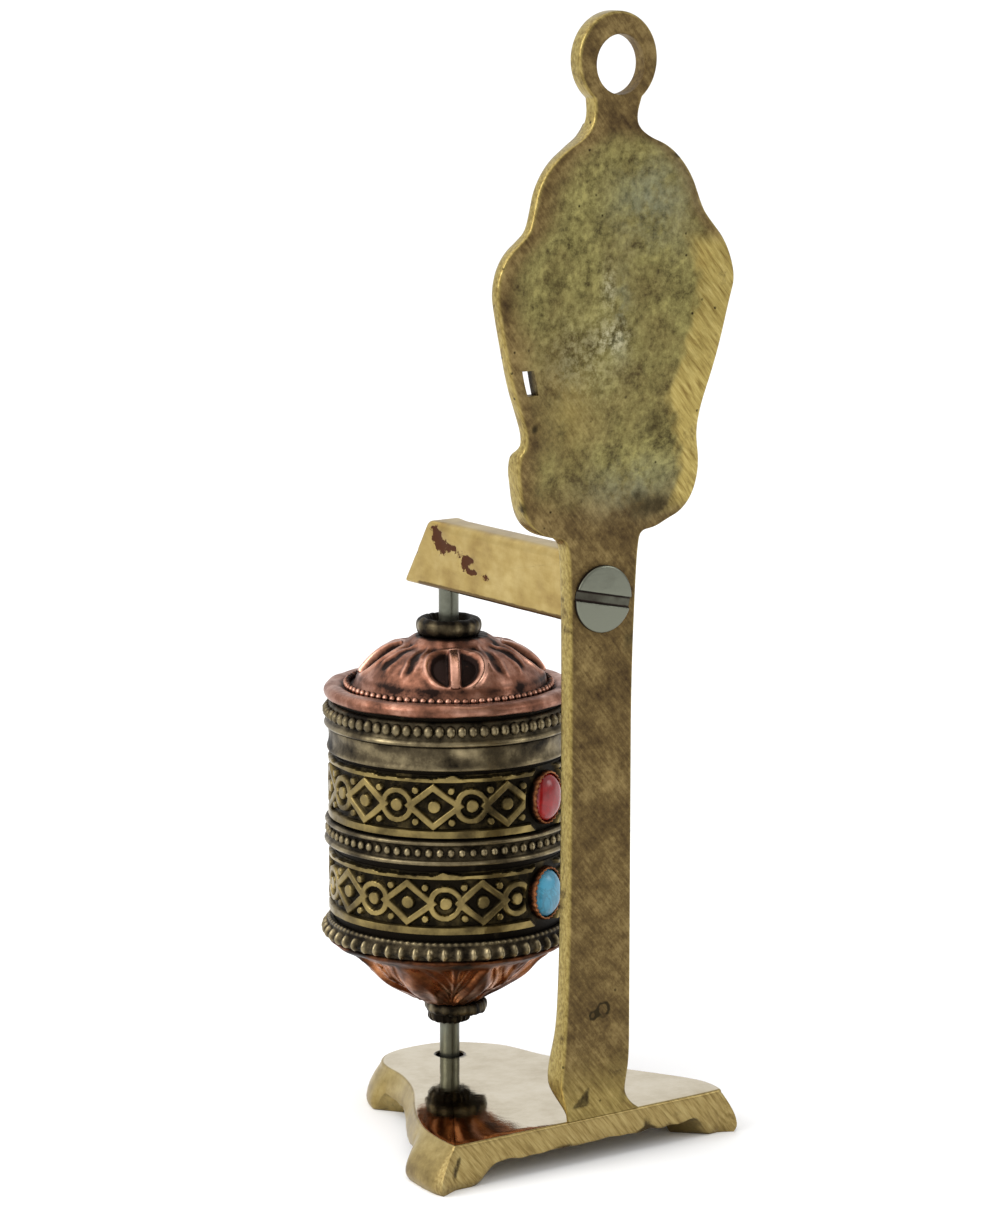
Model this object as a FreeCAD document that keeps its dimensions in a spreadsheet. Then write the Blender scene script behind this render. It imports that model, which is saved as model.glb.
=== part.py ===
import FreeCAD, Part
import math
import os
import re
import Sketcher
from FreeCAD import Placement, Rotation, Vector

# Prayer wheel: a copper and brass drum on a steel axle, held in a cast brass stand.
# Frame: +Z up, the object's front faces -Y, and the origin is on the table under the middle of the object's box.
# Every driving dimension is in the sheet "Sizes", in millimetres, and every sketch and primitive is bound to it.

SIZES = {
    # Axle and its running fits
    "axle_y": -11.8,  # the axle stands this far in front of the origin
    "axle_radius": 1.5,
    "running_gap": 0.05,
    "pivot_depth": 2.6,  # blind holes in the base and in the arm
    "pivot_end_gap": 0.1,
    # Stack of the drum, from the base plate upwards
    "drum_lift": 5.4,
    "end_collar_height": 1.5,
    "lower_collar_height": 2.0,
    "bowl_depth": 10.4,
    "flange_height": 2.7,
    "flange_groove": 1.3,
    "band_height": 9.3,
    "middle_groove": 1.0,
    "middle_height": 3.8,
    "upper_groove": 0.4,
    "neck_groove": 0.6,
    "neck_band_height": 3.6,
    "bead_ring_height": 3.7,
    "brim_gap": 0.7,
    "brim_height": 1.9,
    "dome_rise": 7.2,
    "top_collar_height": 2.6,
    "arm_clearance": 4.5,
    # Radii of the drum: the shell, and how far each piece stands out from it
    "shell_radius": 17.2,
    "shell_wall": 0.8,
    "flange_rise": 2.0,
    "band_rise": 0.9,
    "middle_rise": 1.5,
    "neck_band_rise": 1.1,
    "bead_ring_rise": 2.0,
    "brim_rise": 1.5,
    "bowl_rim_rise": 1.2,
    "brim_width": 4.5,
    "brim_round": 0.8,
    "sheet_thickness": 0.7,
    "dome_curve": 12.5,
    "bowl_shoulder_width": 4.8,  # nearly flat rim of the bowl, outside its rounded part
    "bowl_shoulder_drop": 1.7,
    "bowl_curve": 25.0,
    "top_collar_radius": 4.7,
    "top_collar_hollow_radius": 3.1,
    "top_collar_hollow_depth": 1.2,
    "lower_collar_radius": 4.6,
    "end_collar_radius": 3.2,
    "seat_gap": 0.02,
    # Stones in their bezels
    "stone_angle": 110.0,  # from +X, anticlockwise seen from above
    "stone_half_height": 3.6,
    "stone_width_share": 0.86,  # of the height
    "stone_dome": 2.2,
    "stone_drop": 0.2,  # the stones sit this far below the middle of a band
    "bezel_wall": 0.4,
    "bezel_gap": 0.05,
    "bezel_rise": 1.2,
    # Prayer scroll inside the drum
    "scroll_radius": 13.0,
    "scroll_end_gap": 2.0,
    "thread_thickness": 0.5,
    "thread_width": 2.0,
    # Base plate
    "base_height": 6.6,
    "foot_height": 3.0,  # the arches between the feet rise this far
    "base_shift": 0.7,  # the casting sits this far to +X of the post
    "rear_half_width": 24.3,
    "flank_half_width": 23.9,
    "flank_y": 31.4,  # these depths are measured from the axle towards the rear
    "hip_half_width": 21.2,
    "hip_y": 22.2,
    "thigh_half_width": 16.4,
    "thigh_y": 14.8,
    "waist_half_width": 12.3,
    "waist_y": 6.2,
    "nose_half_width": 11.2,
    "nose_side_y": 0.4,
    "nose_flat_half": 4.5,
    "nose_reach": 6.9,
    "nose_radius": 8.0,
    "hip_radius": 14.0,
    "foot_flare": 2.5,  # the casting is this much wider at the table
    "side_flare": 1.2,
    "front_foot_half": 5.0,
    "rear_foot_half": 18.4,
    "rear_foot_depth": 9.5,
    # Post
    "post_clearance": 16.6,  # from the drum's widest ring to the post
    "post_half_width": 5.4,
    "post_top_half": 6.3,  # the post widens to this under the plaque
    "post_flare_length": 24.0,
    "post_thickness": 2.6,
    "tongue_half_width": 3.5,  # tongue under the post, let into the base
    "tongue_thickness": 1.3,
    "tongue_depth": 2.4,
    "joint_gap": 0.05,
    # Arm and its screw
    "arm_height": 10.06,
    "arm_half_width": 2.6,
    "arm_overhang": 8.1,  # from the axle to the arm's lower front edge
    "arm_rake": 6.4,
    "screw_rise": 3.8,  # from the arm's underside
    "screw_radius": 1.9,
    "screw_length": 14.0,
    "screw_head_radius": 4.8,
    "screw_head_thickness": 0.8,
    "screw_slot_width": 1.5,
    "screw_slot_depth": 0.5,
    # Plaque and hanging ring; heights are measured from the plaque's lower edge
    "plaque_gap": 2.94,  # from the arm's top to the plaque's lower edge
    "bend_length": 32.8,
    "bend_offset": 3.6,  # the plaque stands this far behind the post
    "throne_corner_half": 10.0,
    "throne_corner_radius": 7.0,
    "throne_half_width": 15.6,
    "throne_rise": 7.0,
    "plaque_waist_half": 14.9,
    "plaque_waist_rise": 14.5,
    "plaque_half_width": 20.1,
    "plaque_wide_rise": 34.6,
    "plaque_lobe_radius": 13.0,
    "notch_half_width": 14.3,
    "notch_rise": 44.3,
    "shoulder_radius": 14.0,
    "shoulder_half_width": 6.2,
    "shoulder_rise": 55.4,
    "neck_half_width": 3.7,
    "neck_rise": 57.9,
    "ring_rise": 66.1,
    "ring_outer_radius": 6.8,
    "ring_root_half": 5.0,
    "ring_hole_radius": 4.1,
    "ring_hole_drop": 0.5,
    "relief_margin": 3.0,
    "relief_height": 1.2,
}

# Heights and depths that follow from the sizes above
COLLAR_STEP = "(base_height + drum_lift + end_collar_height)"
BOWL_BOTTOM = f"({COLLAR_STEP} + lower_collar_height)"
DRUM_BOTTOM = f"({BOWL_BOTTOM} + bowl_depth)"
FLANGE_TOP = f"({DRUM_BOTTOM} + flange_height)"
LOWER_BAND = f"({FLANGE_TOP} + flange_groove)"
MIDDLE_RING = f"({LOWER_BAND} + band_height + middle_groove)"
UPPER_BAND = f"({MIDDLE_RING} + middle_height + upper_groove)"
NECK_BAND = f"({UPPER_BAND} + band_height + neck_groove)"
BEAD_RING = f"({NECK_BAND} + neck_band_height)"
BRIM_BOTTOM = f"({BEAD_RING} + bead_ring_height + brim_gap)"
BRIM_TOP = f"({BRIM_BOTTOM} + brim_height)"
DOME_TOP = f"({BRIM_TOP} + dome_rise)"
TOP_COLLAR_TOP = f"({DOME_TOP} + top_collar_height)"
ARM_UNDERSIDE = f"({TOP_COLLAR_TOP} + arm_clearance)"
SCREW_HEIGHT = f"({ARM_UNDERSIDE} + screw_rise)"
THRONE_BOTTOM = f"({ARM_UNDERSIDE} + arm_height + plaque_gap)"
RING_HEIGHT = f"({THRONE_BOTTOM} + ring_rise)"
BEND_START = f"({SCREW_HEIGHT} + screw_head_radius + 0.1)"
AXLE_TO_POST = "(shell_radius + bead_ring_rise + post_clearance)"
AXLE_TO_REAR = f"({AXLE_TO_POST} + post_thickness)"
STONE_HALF_WIDTH = "(stone_width_share * stone_half_height)"
SEAT = "(shell_radius + seat_gap)"
BORE = "(axle_radius + seat_gap)"

doc = FreeCAD.newDocument("prayer_wheel")
sheet = doc.addObject("Spreadsheet::Sheet", "Sizes")
for row, (alias, value) in enumerate(SIZES.items(), start=1):
    sheet.set(f"A{row}", alias)
    sheet.set(f"B{row}", str(value))
    sheet.setAlias(f"B{row}", alias)
doc.recompute()

nodes = []


# ---------------------------------------------------------------- helpers


def bound(text):
    """Point every size named in an expression at the sheet."""
    return re.sub(r"\b(" + "|".join(SIZES) + r")\b", r"Sizes.\1", text)


def value_of(text):
    """Work out an expression's number, for the first guess of a constraint."""
    result = sheet.evalExpression(bound(text))
    return float(getattr(result, "Value", result))


def keep(node):
    """List an object as one piece of the prayer wheel; its label names its file."""
    nodes.append(node)
    return node


def new_body(name, y="axle_y", z=None):
    """Start a body at a place on the frame's middle plane."""
    body = doc.addObject("PartDesign::Body", name)
    body.Label = name
    body.setExpression(".Placement.Base.y", bound(y))
    if z is not None:
        body.setExpression(".Placement.Base.z", bound(z))
    return body


def new_sketch(body, role, name, offset=None):
    """Attach a sketch to one of its own body's origin planes, moved along the plane's normal."""
    plane = next(item for item in body.Origin.OriginFeatures if item.Role == role)
    sketch = body.newObject("Sketcher::SketchObject", name)
    sketch.AttachmentSupport = (plane, [""])
    sketch.MapMode = "FlatFace"
    if offset is not None:
        sketch.setExpression("AttachmentOffset.Base.z", bound(offset))
    return sketch


def pin_point(sketch, edge, end, across, up):
    """Hold one point of an edge at two expressions measured from the sketch's origin."""
    for kind, text in (("DistanceX", across), ("DistanceY", up)):
        index = sketch.addConstraint(Sketcher.Constraint(kind, -1, 1, edge, end, value_of(text)))
        sketch.setExpression(f"Constraints[{index}]", bound(text))


def pin_radius(sketch, edge, radius):
    """Hold an arc's or a circle's radius at an expression."""
    index = sketch.addConstraint(Sketcher.Constraint("Radius", edge, value_of(radius)))
    sketch.setExpression(f"Constraints[{index}]", bound(radius))


def add_arc(sketch, start, end, radius, turn):
    """Add the arc of under half a turn from start to end, anticlockwise for turn 1 and clockwise for turn -1."""
    chord = end - start
    rise = math.sqrt(radius**2 - (chord.Length / 2) ** 2)
    side = Vector(-chord.y, chord.x, 0).normalize() * turn
    centre = (start + end) * 0.5 + side * rise
    first, last = (start, end) if turn > 0 else (end, start)
    first_angle = math.atan2(first.y - centre.y, first.x - centre.x)
    last_angle = math.atan2(last.y - centre.y, last.x - centre.x)
    if last_angle < first_angle:
        last_angle += 2 * math.pi
    circle = Part.Circle(centre, Vector(0, 0, 1), radius)
    return sketch.addGeometry(Part.ArcOfCircle(circle, first_angle, last_angle), False)


def draw_outline(sketch, corners):
    """Draw a closed outline from (across, up) corners; a corner with (radius, turn) is left by an arc."""
    points = [Vector(value_of(corner[0]), value_of(corner[1]), 0) for corner in corners]
    edges = []
    for index, corner in enumerate(corners):
        start = points[index]
        end = points[(index + 1) % len(points)]
        if len(corner) == 2:
            edges.append((sketch.addGeometry(Part.LineSegment(start, end), False), 1, 2))
            continue
        radius, turn = corner[2:]
        arc = add_arc(sketch, start, end, value_of(radius), turn)
        pin_radius(sketch, arc, radius)
        edges.append((arc, 1, 2) if turn > 0 else (arc, 2, 1))
    for index, corner in enumerate(corners):
        edge, start_point, _ = edges[index]
        before, _, end_point = edges[index - 1]
        sketch.addConstraint(Sketcher.Constraint("Coincident", before, end_point, edge, start_point))
        pin_point(sketch, edge, start_point, corner[0], corner[1])


def draw_circle(sketch, radius, across="0", up="0"):
    """Draw a circle held by expressions."""
    centre = Vector(value_of(across), value_of(up), 0)
    edge = sketch.addGeometry(Part.Circle(centre, Vector(0, 0, 1), value_of(radius)), False)
    pin_radius(sketch, edge, radius)
    pin_point(sketch, edge, 3, across, up)


def mirrored(half, peak=None):
    """Complete an outline that runs along its +X side with its mirror image on the -X side.

    An arc belongs to the corner that its edge leaves, so on the way back it belongs to the edge's other corner.
    A peak is a single corner on the middle line, between the two sides.
    """
    back = []
    for index in range(len(half) - 1, -1, -1):
        arc = half[index - 1][2:] if index > 0 else ()
        back.append((f"-({half[index][0]})", half[index][1], *arc))
    top = [("0", peak, *half[-1][2:])] if peak is not None else []
    return half + top + back


def pad(body, sketch, name, length, midplane=False, reverse=False):
    """Pad a sketch by an expression."""
    feature = body.newObject("PartDesign::Pad", name)
    feature.Profile = sketch
    feature.SideType = "Symmetric" if midplane else "One side"
    feature.Reversed = reverse
    feature.setExpression("Length", bound(length))
    body.Tip = feature


def pocket(body, sketch, name, length, reverse=False):
    """Cut a sketch into its body by an expression, and make sure that it took something away."""
    doc.recompute()
    before = body.Shape.Volume
    feature = body.newObject("PartDesign::Pocket", name)
    feature.Profile = sketch
    feature.Reversed = reverse
    feature.setExpression("Length", bound(length))
    body.Tip = feature
    doc.recompute()
    if body.Shape.Volume > before - 0.01:
        raise RuntimeError(f"{name} cuts nothing")


def turned(name, corners):
    """A piece turned about the axle: its half profile, radius across and height up, is spun a full turn."""
    body = new_body(name)
    sketch = new_sketch(body, "XZ_Plane", f"{name}_profile")
    draw_outline(sketch, corners)
    spin = body.newObject("PartDesign::Revolution", f"{name}_turning")
    spin.Profile = sketch
    spin.ReferenceAxis = (sketch, ["V_Axis"])
    spin.Angle = 360
    body.Tip = spin
    return body


def ring(name, inner, outer, bottom, height):
    """A plain turned ring."""
    top = f"{bottom} + {height}"
    return turned(name, [(inner, bottom), (outer, bottom), (outer, top), (inner, top)])


def primitive(kind, name, **sizes):
    """A Part primitive whose sizes are bound to expressions."""
    item = doc.addObject(kind, name)
    for size, text in sizes.items():
        item.setExpression(size, bound(text))
    return item


def join(kind, name, first, second):
    """A Part boolean of two objects."""
    result = doc.addObject(kind, name)
    result.Base = first
    result.Tool = second
    return result


# ---------------------------------------------------------------- stand


def base_outline(rear_flare, side_flare):
    """Plan of the base casting, X from its own middle and Y from the axle, widened by two flares."""
    front = f"-nose_reach - {side_flare}"
    return mirrored([
        (f"nose_flat_half + {side_flare}", front, "nose_radius", 1),
        (f"nose_half_width + {side_flare}", "nose_side_y"),
        (f"waist_half_width + {side_flare}", "waist_y"),
        (f"thigh_half_width + {side_flare}", "thigh_y"),
        (f"hip_half_width + {side_flare}", "hip_y", "hip_radius", 1),
        (f"flank_half_width + {rear_flare}", "flank_y"),
        (f"rear_half_width + {rear_flare}", AXLE_TO_REAR),
    ])


def make_base_plate():
    """Cast plate on four splayed feet, with a blind pivot hole for the axle and a mortise for the post's tongue."""
    body = new_body("base_plate")
    body.setExpression(".Placement.Base.x", bound("base_shift"))
    table = new_sketch(body, "XY_Plane", "base_table_outline")
    draw_outline(table, base_outline("foot_flare", "side_flare"))
    top = new_sketch(body, "XY_Plane", "base_top_outline", "base_height")
    draw_outline(top, base_outline("0", "0"))
    casting = body.newObject("PartDesign::AdditiveLoft", "base_casting")
    casting.Profile = table
    casting.Sections = [top]
    casting.Ruled = True
    body.Tip = casting

    past_side = "rear_half_width + 3 * foot_flare"
    past_front = "-nose_reach - 3 * side_flare"
    arches = new_sketch(body, "XY_Plane", "base_arch_plan")
    draw_outline(arches, mirrored([
        ("front_foot_half", past_front),
        ("front_foot_half", "nose_side_y"),
        ("front_foot_half + 3", "waist_y - 2"),
        (past_side, "waist_y - 2"),
        (past_side, f"{AXLE_TO_REAR} - rear_foot_depth - 2"),
        ("rear_foot_half", f"{AXLE_TO_REAR} - rear_foot_depth"),
        ("rear_foot_half", f"{AXLE_TO_REAR} + 1"),
    ]))
    pocket(body, arches, "base_arches", "foot_height", reverse=True)

    pivot = new_sketch(body, "XY_Plane", "base_pivot_circle", "base_height")
    draw_circle(pivot, "axle_radius + running_gap", across="-base_shift")
    pocket(body, pivot, "base_pivot_hole", "pivot_depth")

    mortise = new_sketch(body, "XY_Plane", "base_mortise_plan", "base_height")
    rear = f"{AXLE_TO_REAR} - (post_thickness - tongue_thickness) / 2 + joint_gap"
    front = f"{AXLE_TO_REAR} - (post_thickness + tongue_thickness) / 2 - joint_gap"
    right = "tongue_half_width + joint_gap - base_shift"
    left = "-tongue_half_width - joint_gap - base_shift"
    draw_outline(mortise, [(right, front), (right, rear), (left, rear), (left, front)])
    pocket(body, mortise, "base_mortise", "tongue_depth + joint_gap")
    return keep(body)


def plaque_side(margin):
    """The plaque's +X edge from its lower corner to its shoulder's end, drawn in by a margin."""
    return [
        (f"throne_corner_half - {margin}", f"{THRONE_BOTTOM} + {margin}", f"throne_corner_radius - {margin}", 1),
        (f"throne_half_width - {margin}", f"{THRONE_BOTTOM} + throne_rise"),
        (f"plaque_waist_half - {margin}", f"{THRONE_BOTTOM} + plaque_waist_rise"),
        (f"plaque_half_width - {margin}", f"{THRONE_BOTTOM} + plaque_wide_rise", "plaque_lobe_radius", 1),
        (f"notch_half_width - {margin}", f"{THRONE_BOTTOM} + notch_rise", "shoulder_radius", 1),
        (f"shoulder_half_width - {margin}", f"{THRONE_BOTTOM} + shoulder_rise - {margin}"),
    ]


def make_slab(name, outline):
    """A front view cut out of a block thick enough to hold the plaque's bend."""
    body = new_body(name, f"axle_y + {AXLE_TO_REAR}")
    sketch = new_sketch(body, "XZ_Plane", f"{name}_view")
    draw_outline(sketch, outline)
    pad(body, sketch, f"{name}_pad", "4 * (post_thickness + bend_offset)", midplane=True)
    return body


def make_bent_sheet(name, rear, front):
    """A sheet seen from the side: straight up the post, then bent back in two equal arcs, then straight again.

    Rear and front are the depths of its two faces in front of the stand's rear face.
    """
    body = new_body(name, f"axle_y + {AXLE_TO_REAR}")
    sketch = new_sketch(body, "YZ_Plane", f"{name}_view")
    bend = "(bend_length^2 + bend_offset^2) / (4 * bend_offset)"
    middle = f"{BEND_START} + bend_length / 2"
    end = f"{BEND_START} + bend_length"
    top = f"{RING_HEIGHT} + 2 * ring_outer_radius"
    draw_outline(sketch, [
        (f"-({front})", "base_height"),
        (f"-({rear})", "base_height"),
        (f"-({rear})", BEND_START, bend, -1),
        (f"bend_offset / 2 - ({rear})", middle, bend, 1),
        (f"bend_offset - ({rear})", end),
        (f"bend_offset - ({rear})", top),
        (f"bend_offset - ({front})", top),
        (f"bend_offset - ({front})", end, bend, -1),
        (f"bend_offset / 2 - ({front})", middle, bend, 1),
        (f"-({front})", BEND_START),
    ])
    pad(body, sketch, f"{name}_pad", "4 * plaque_half_width", midplane=True)
    return body


def make_upright():
    """Post, plaque and hanging ring in one casting, with a tongue below and the arm screw's hole."""
    ring_root = f"{RING_HEIGHT} - sqrt(ring_outer_radius^2 - ring_root_half^2)"
    whole_view = make_slab("upright_front", mirrored([
        ("post_half_width", "base_height"),
        ("post_half_width", f"{THRONE_BOTTOM} - post_flare_length"),
        ("post_top_half", f"{THRONE_BOTTOM} - 0.3"),
        *plaque_side("0"),
        ("neck_half_width", f"{THRONE_BOTTOM} + neck_rise"),
        ("ring_root_half", ring_root, "ring_outer_radius", 1),
    ], peak=f"{RING_HEIGHT} + ring_outer_radius"))
    relief_view = make_slab("relief_front", mirrored(plaque_side("relief_margin")))
    plate_side = make_bent_sheet("upright_side", "0", "post_thickness")
    relief_side = make_bent_sheet("relief_side", "post_thickness / 2", "post_thickness + relief_height")
    plate = join("Part::Common", "upright_plate", whole_view, plate_side)
    relief = join("Part::Common", "upright_relief", relief_view, relief_side)
    casting = join("Part::Fuse", "upright_casting", plate, relief)

    tongue = primitive("Part::Box", "upright_tongue", Length="2 * tongue_half_width",
                       Width="tongue_thickness", Height="tongue_depth + 1")
    tongue.setExpression(".Placement.Base.x", bound("-tongue_half_width"))
    tongue_y = f"axle_y + {AXLE_TO_REAR} - (post_thickness + tongue_thickness) / 2"
    tongue.setExpression(".Placement.Base.y", bound(tongue_y))
    tongue.setExpression(".Placement.Base.z", bound("base_height - tongue_depth"))
    casting = join("Part::Fuse", "upright_with_tongue", casting, tongue)

    for name, radius, height in (
        ("upright_screw_hole", "screw_radius + 2 * joint_gap", SCREW_HEIGHT),
        ("upright_ring_hole", "ring_hole_radius", f"{RING_HEIGHT} - ring_hole_drop"),
    ):
        drill = primitive("Part::Cylinder", f"{name}_drill", Radius=radius, Height="8 * (post_thickness + bend_offset)")
        drill.Placement = Placement(Vector(), Rotation(Vector(1, 0, 0), 90))
        drill.setExpression(".Placement.Base.y", bound(f"axle_y + {AXLE_TO_REAR} + 4 * (post_thickness + bend_offset)"))
        drill.setExpression(".Placement.Base.z", bound(height))
        casting = join("Part::Cut", name, casting, drill)
    casting.Label = "upright"
    return keep(casting)


def make_arm():
    """Bar with a raked front end; the axle turns in a blind hole below and the screw holds it from behind."""
    body = new_body("arm")
    sketch = new_sketch(body, "YZ_Plane", "arm_view")
    top = f"{ARM_UNDERSIDE} + arm_height"
    draw_outline(sketch, [
        ("-arm_overhang", ARM_UNDERSIDE),
        (AXLE_TO_POST, ARM_UNDERSIDE),
        (AXLE_TO_POST, top),
        ("arm_rake - arm_overhang", top),
    ])
    pad(body, sketch, "arm_bar", "2 * arm_half_width", midplane=True)
    pivot = new_sketch(body, "XY_Plane", "arm_pivot_circle", ARM_UNDERSIDE)
    draw_circle(pivot, "axle_radius + running_gap")
    pocket(body, pivot, "arm_pivot_hole", "pivot_depth", reverse=True)
    tapped = new_sketch(body, "XZ_Plane", "arm_screw_circle", f"-{AXLE_TO_POST}")
    draw_circle(tapped, "screw_radius + joint_gap", up=SCREW_HEIGHT)
    pocket(body, tapped, "arm_screw_hole", "screw_length - post_thickness + 1", reverse=True)
    return keep(body)


def make_arm_screw():
    """Slotted screw: its head bears on the post's rear face and its shank runs into the arm."""
    body = new_body("arm_screw", f"axle_y + {AXLE_TO_REAR}", SCREW_HEIGHT)
    shank = new_sketch(body, "XZ_Plane", "screw_shank_circle")
    draw_circle(shank, "screw_radius")
    pad(body, shank, "screw_shank", "screw_length")
    head = new_sketch(body, "XZ_Plane", "screw_head_circle")
    draw_circle(head, "screw_head_radius")
    pad(body, head, "screw_head", "screw_head_thickness", reverse=True)
    slot = new_sketch(body, "XZ_Plane", "screw_slot_plan", "-screw_head_thickness")
    half = "screw_slot_width / 2"
    reach = "screw_head_radius + 1"
    draw_outline(slot, [(f"-({reach})", f"-{half}"), (reach, f"-{half}"), (reach, half), (f"-({reach})", half)])
    pocket(body, slot, "screw_slot", "screw_slot_depth", reverse=True)
    return keep(body)


# ---------------------------------------------------------------- drum


def make_axle():
    """Steel rod from the base's blind hole to the arm's."""
    bottom = "base_height - pivot_depth + pivot_end_gap"
    top = f"{ARM_UNDERSIDE} + pivot_depth - pivot_end_gap"
    return keep(turned("axle", [("0", bottom), ("axle_radius", bottom), ("axle_radius", top), ("0", top)]))


def make_caps():
    """Pressed copper dome with its rolled brim, and the copper bowl that closes the drum below."""
    brim = "(shell_radius + brim_rise)"
    foot = f"({brim} - brim_width)"
    under = f"{BRIM_TOP} - sheet_thickness"
    keep(turned("top_cap", [
        (SEAT, BRIM_BOTTOM),
        (brim, BRIM_BOTTOM),
        (brim, f"{BRIM_TOP} - brim_round", "brim_round", 1),
        (f"{brim} - brim_round", BRIM_TOP),
        (foot, BRIM_TOP, "dome_curve", 1),
        ("top_collar_radius", DOME_TOP),
        (BORE, DOME_TOP),
        (BORE, f"{DOME_TOP} - sheet_thickness"),
        ("top_collar_radius", f"{DOME_TOP} - sheet_thickness", "dome_curve", -1),
        (f"{foot} - sheet_thickness / 2", under),
        (SEAT, under),
    ]))
    rim = "(shell_radius + bowl_rim_rise)"
    shoulder = f"({rim} - bowl_shoulder_width)"
    keep(turned("bottom_cap", [
        (BORE, BOWL_BOTTOM),
        ("lower_collar_radius", BOWL_BOTTOM, "bowl_curve", 1),
        (shoulder, f"{DRUM_BOTTOM} - bowl_shoulder_drop"),
        (rim, f"{DRUM_BOTTOM} - sheet_thickness"),
        (rim, DRUM_BOTTOM),
        ("shell_radius - shell_wall", DRUM_BOTTOM),
        (f"{shoulder} - sheet_thickness", f"{DRUM_BOTTOM} - bowl_shoulder_drop + sheet_thickness", "bowl_curve", -1),
        ("lower_collar_radius", f"{BOWL_BOTTOM} + sheet_thickness"),
        (BORE, f"{BOWL_BOTTOM} + sheet_thickness"),
    ]))


def make_collars():
    """Collars that hold the caps to the axle: a cupped one above, a stepped one below."""
    hollow = f"{TOP_COLLAR_TOP} - top_collar_hollow_depth"
    keep(turned("top_collar", [
        (BORE, DOME_TOP),
        ("top_collar_radius", DOME_TOP),
        ("top_collar_radius", TOP_COLLAR_TOP),
        ("top_collar_hollow_radius", TOP_COLLAR_TOP),
        ("top_collar_hollow_radius", hollow),
        (BORE, hollow),
    ]))
    bottom = "base_height + drum_lift"
    keep(turned("bottom_collar", [
        (BORE, bottom),
        ("end_collar_radius", bottom),
        ("end_collar_radius", COLLAR_STEP),
        ("lower_collar_radius", COLLAR_STEP),
        ("lower_collar_radius", BOWL_BOTTOM),
        (BORE, BOWL_BOTTOM),
    ]))


def make_shell_and_rings():
    """Tube of the drum and the rings soldered round it, except the two bands that carry stones."""
    shell_height = f"{BRIM_TOP} - sheet_thickness - {DRUM_BOTTOM}"
    keep(ring("drum_shell", "shell_radius - shell_wall", "shell_radius", DRUM_BOTTOM, shell_height))
    keep(ring("lower_flange", SEAT, "shell_radius + flange_rise", DRUM_BOTTOM, "flange_height"))
    keep(ring("middle_bead_strip", SEAT, "shell_radius + middle_rise", MIDDLE_RING, "middle_height"))
    keep(ring("neck_band", SEAT, "shell_radius + neck_band_rise", NECK_BAND, "neck_band_height"))
    keep(ring("upper_bead_ring", SEAT, "shell_radius + bead_ring_rise", BEAD_RING, "bead_ring_height"))


def oval_bar(name, margin, length):
    """An upright oval bar, as large as a stone with a margin, that runs from the axle's line towards -Y."""
    oval = primitive("Part::Ellipse", f"{name}_oval", MajorRadius=f"stone_half_height + {margin}",
                     MinorRadius=f"{STONE_HALF_WIDTH} + {margin}")
    oval.Placement = Placement(Vector(), Rotation(Vector(0, 0, 1), Vector(-1, 0, 0), Vector(0, -1, 0), "XYZ"))
    bar = doc.addObject("Part::Extrusion", f"{name}_bar")
    bar.Base = oval
    bar.DirMode = "Custom"
    bar.Dir = Vector(0, -1, 0)
    bar.Solid = True
    bar.setExpression("LengthFwd", bound(length))
    return bar


def turn_to(item, angle, height):
    """Place an object on the axle's line at a height, facing an angle."""
    item.Placement = Placement(Vector(), Rotation(Vector(0, 0, 1), 90))
    item.setExpression(".Placement.Rotation.Angle", bound(f"({angle} + 90) * 1 deg"))
    item.setExpression(".Placement.Base.y", bound("axle_y"))
    item.setExpression(".Placement.Base.z", bound(height))
    return item


def make_stone(name, angle, height):
    """Oval cabochon: half an ellipsoid whose flat back rests on the shell."""
    egg = primitive("Part::Ellipsoid", f"{name}_egg", Radius1="stone_half_height", Radius2=STONE_HALF_WIDTH,
                    Radius3="stone_dome")
    egg.setExpression(".Placement.Base.y", bound("-shell_radius - seat_gap"))
    behind = primitive("Part::Box", f"{name}_behind", Length="4 * stone_half_height",
                       Width="2 * stone_half_height", Height="4 * stone_half_height")
    behind.setExpression(".Placement.Base.x", bound("-2 * stone_half_height"))
    behind.setExpression(".Placement.Base.y", bound("-shell_radius - seat_gap"))
    behind.setExpression(".Placement.Base.z", bound("-2 * stone_half_height"))
    stone = join("Part::Cut", name, egg, behind)
    return keep(turn_to(stone, angle, height))


def make_bezel(name, angle, height):
    """Oval copper rim round a stone."""
    outer = oval_bar(f"{name}_outer", "bezel_gap + bezel_wall", "shell_radius + bezel_rise")
    inner = oval_bar(f"{name}_inner", "bezel_gap", "2 * shell_radius")
    tube = join("Part::Cut", f"{name}_tube", outer, inner)
    core = primitive("Part::Cylinder", f"{name}_core", Radius=SEAT, Height="6 * stone_half_height")
    core.setExpression(".Placement.Base.z", bound("-3 * stone_half_height"))
    bezel = join("Part::Cut", name, tube, core)
    return keep(turn_to(bezel, angle, height))


def make_bands_and_stones():
    """Two frieze bands, each with a bezel and a stone let into opposite sides."""
    for level, bottom, colour in (("lower", LOWER_BAND, "turquoise"), ("upper", UPPER_BAND, "coral")):
        middle = f"{bottom} + band_height / 2 - stone_drop"
        band = ring(f"{level}_band_blank", SEAT, "shell_radius + band_rise", bottom, "band_height")
        for side, angle in (("rear", "stone_angle"), ("front", "(stone_angle + 180)")):
            window = oval_bar(f"{level}_{side}_window", "2 * bezel_gap + bezel_wall", "2 * shell_radius")
            turn_to(window, angle, middle)
            band = join("Part::Cut", f"{level}_band_{side}_cut", band, window)
            make_bezel(f"{colour}_bezel_{side}", angle, middle)
            make_stone(f"{colour}_stone_{side}", angle, middle)
        band.Label = f"{level}_frieze_band"
        keep(band)


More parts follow.
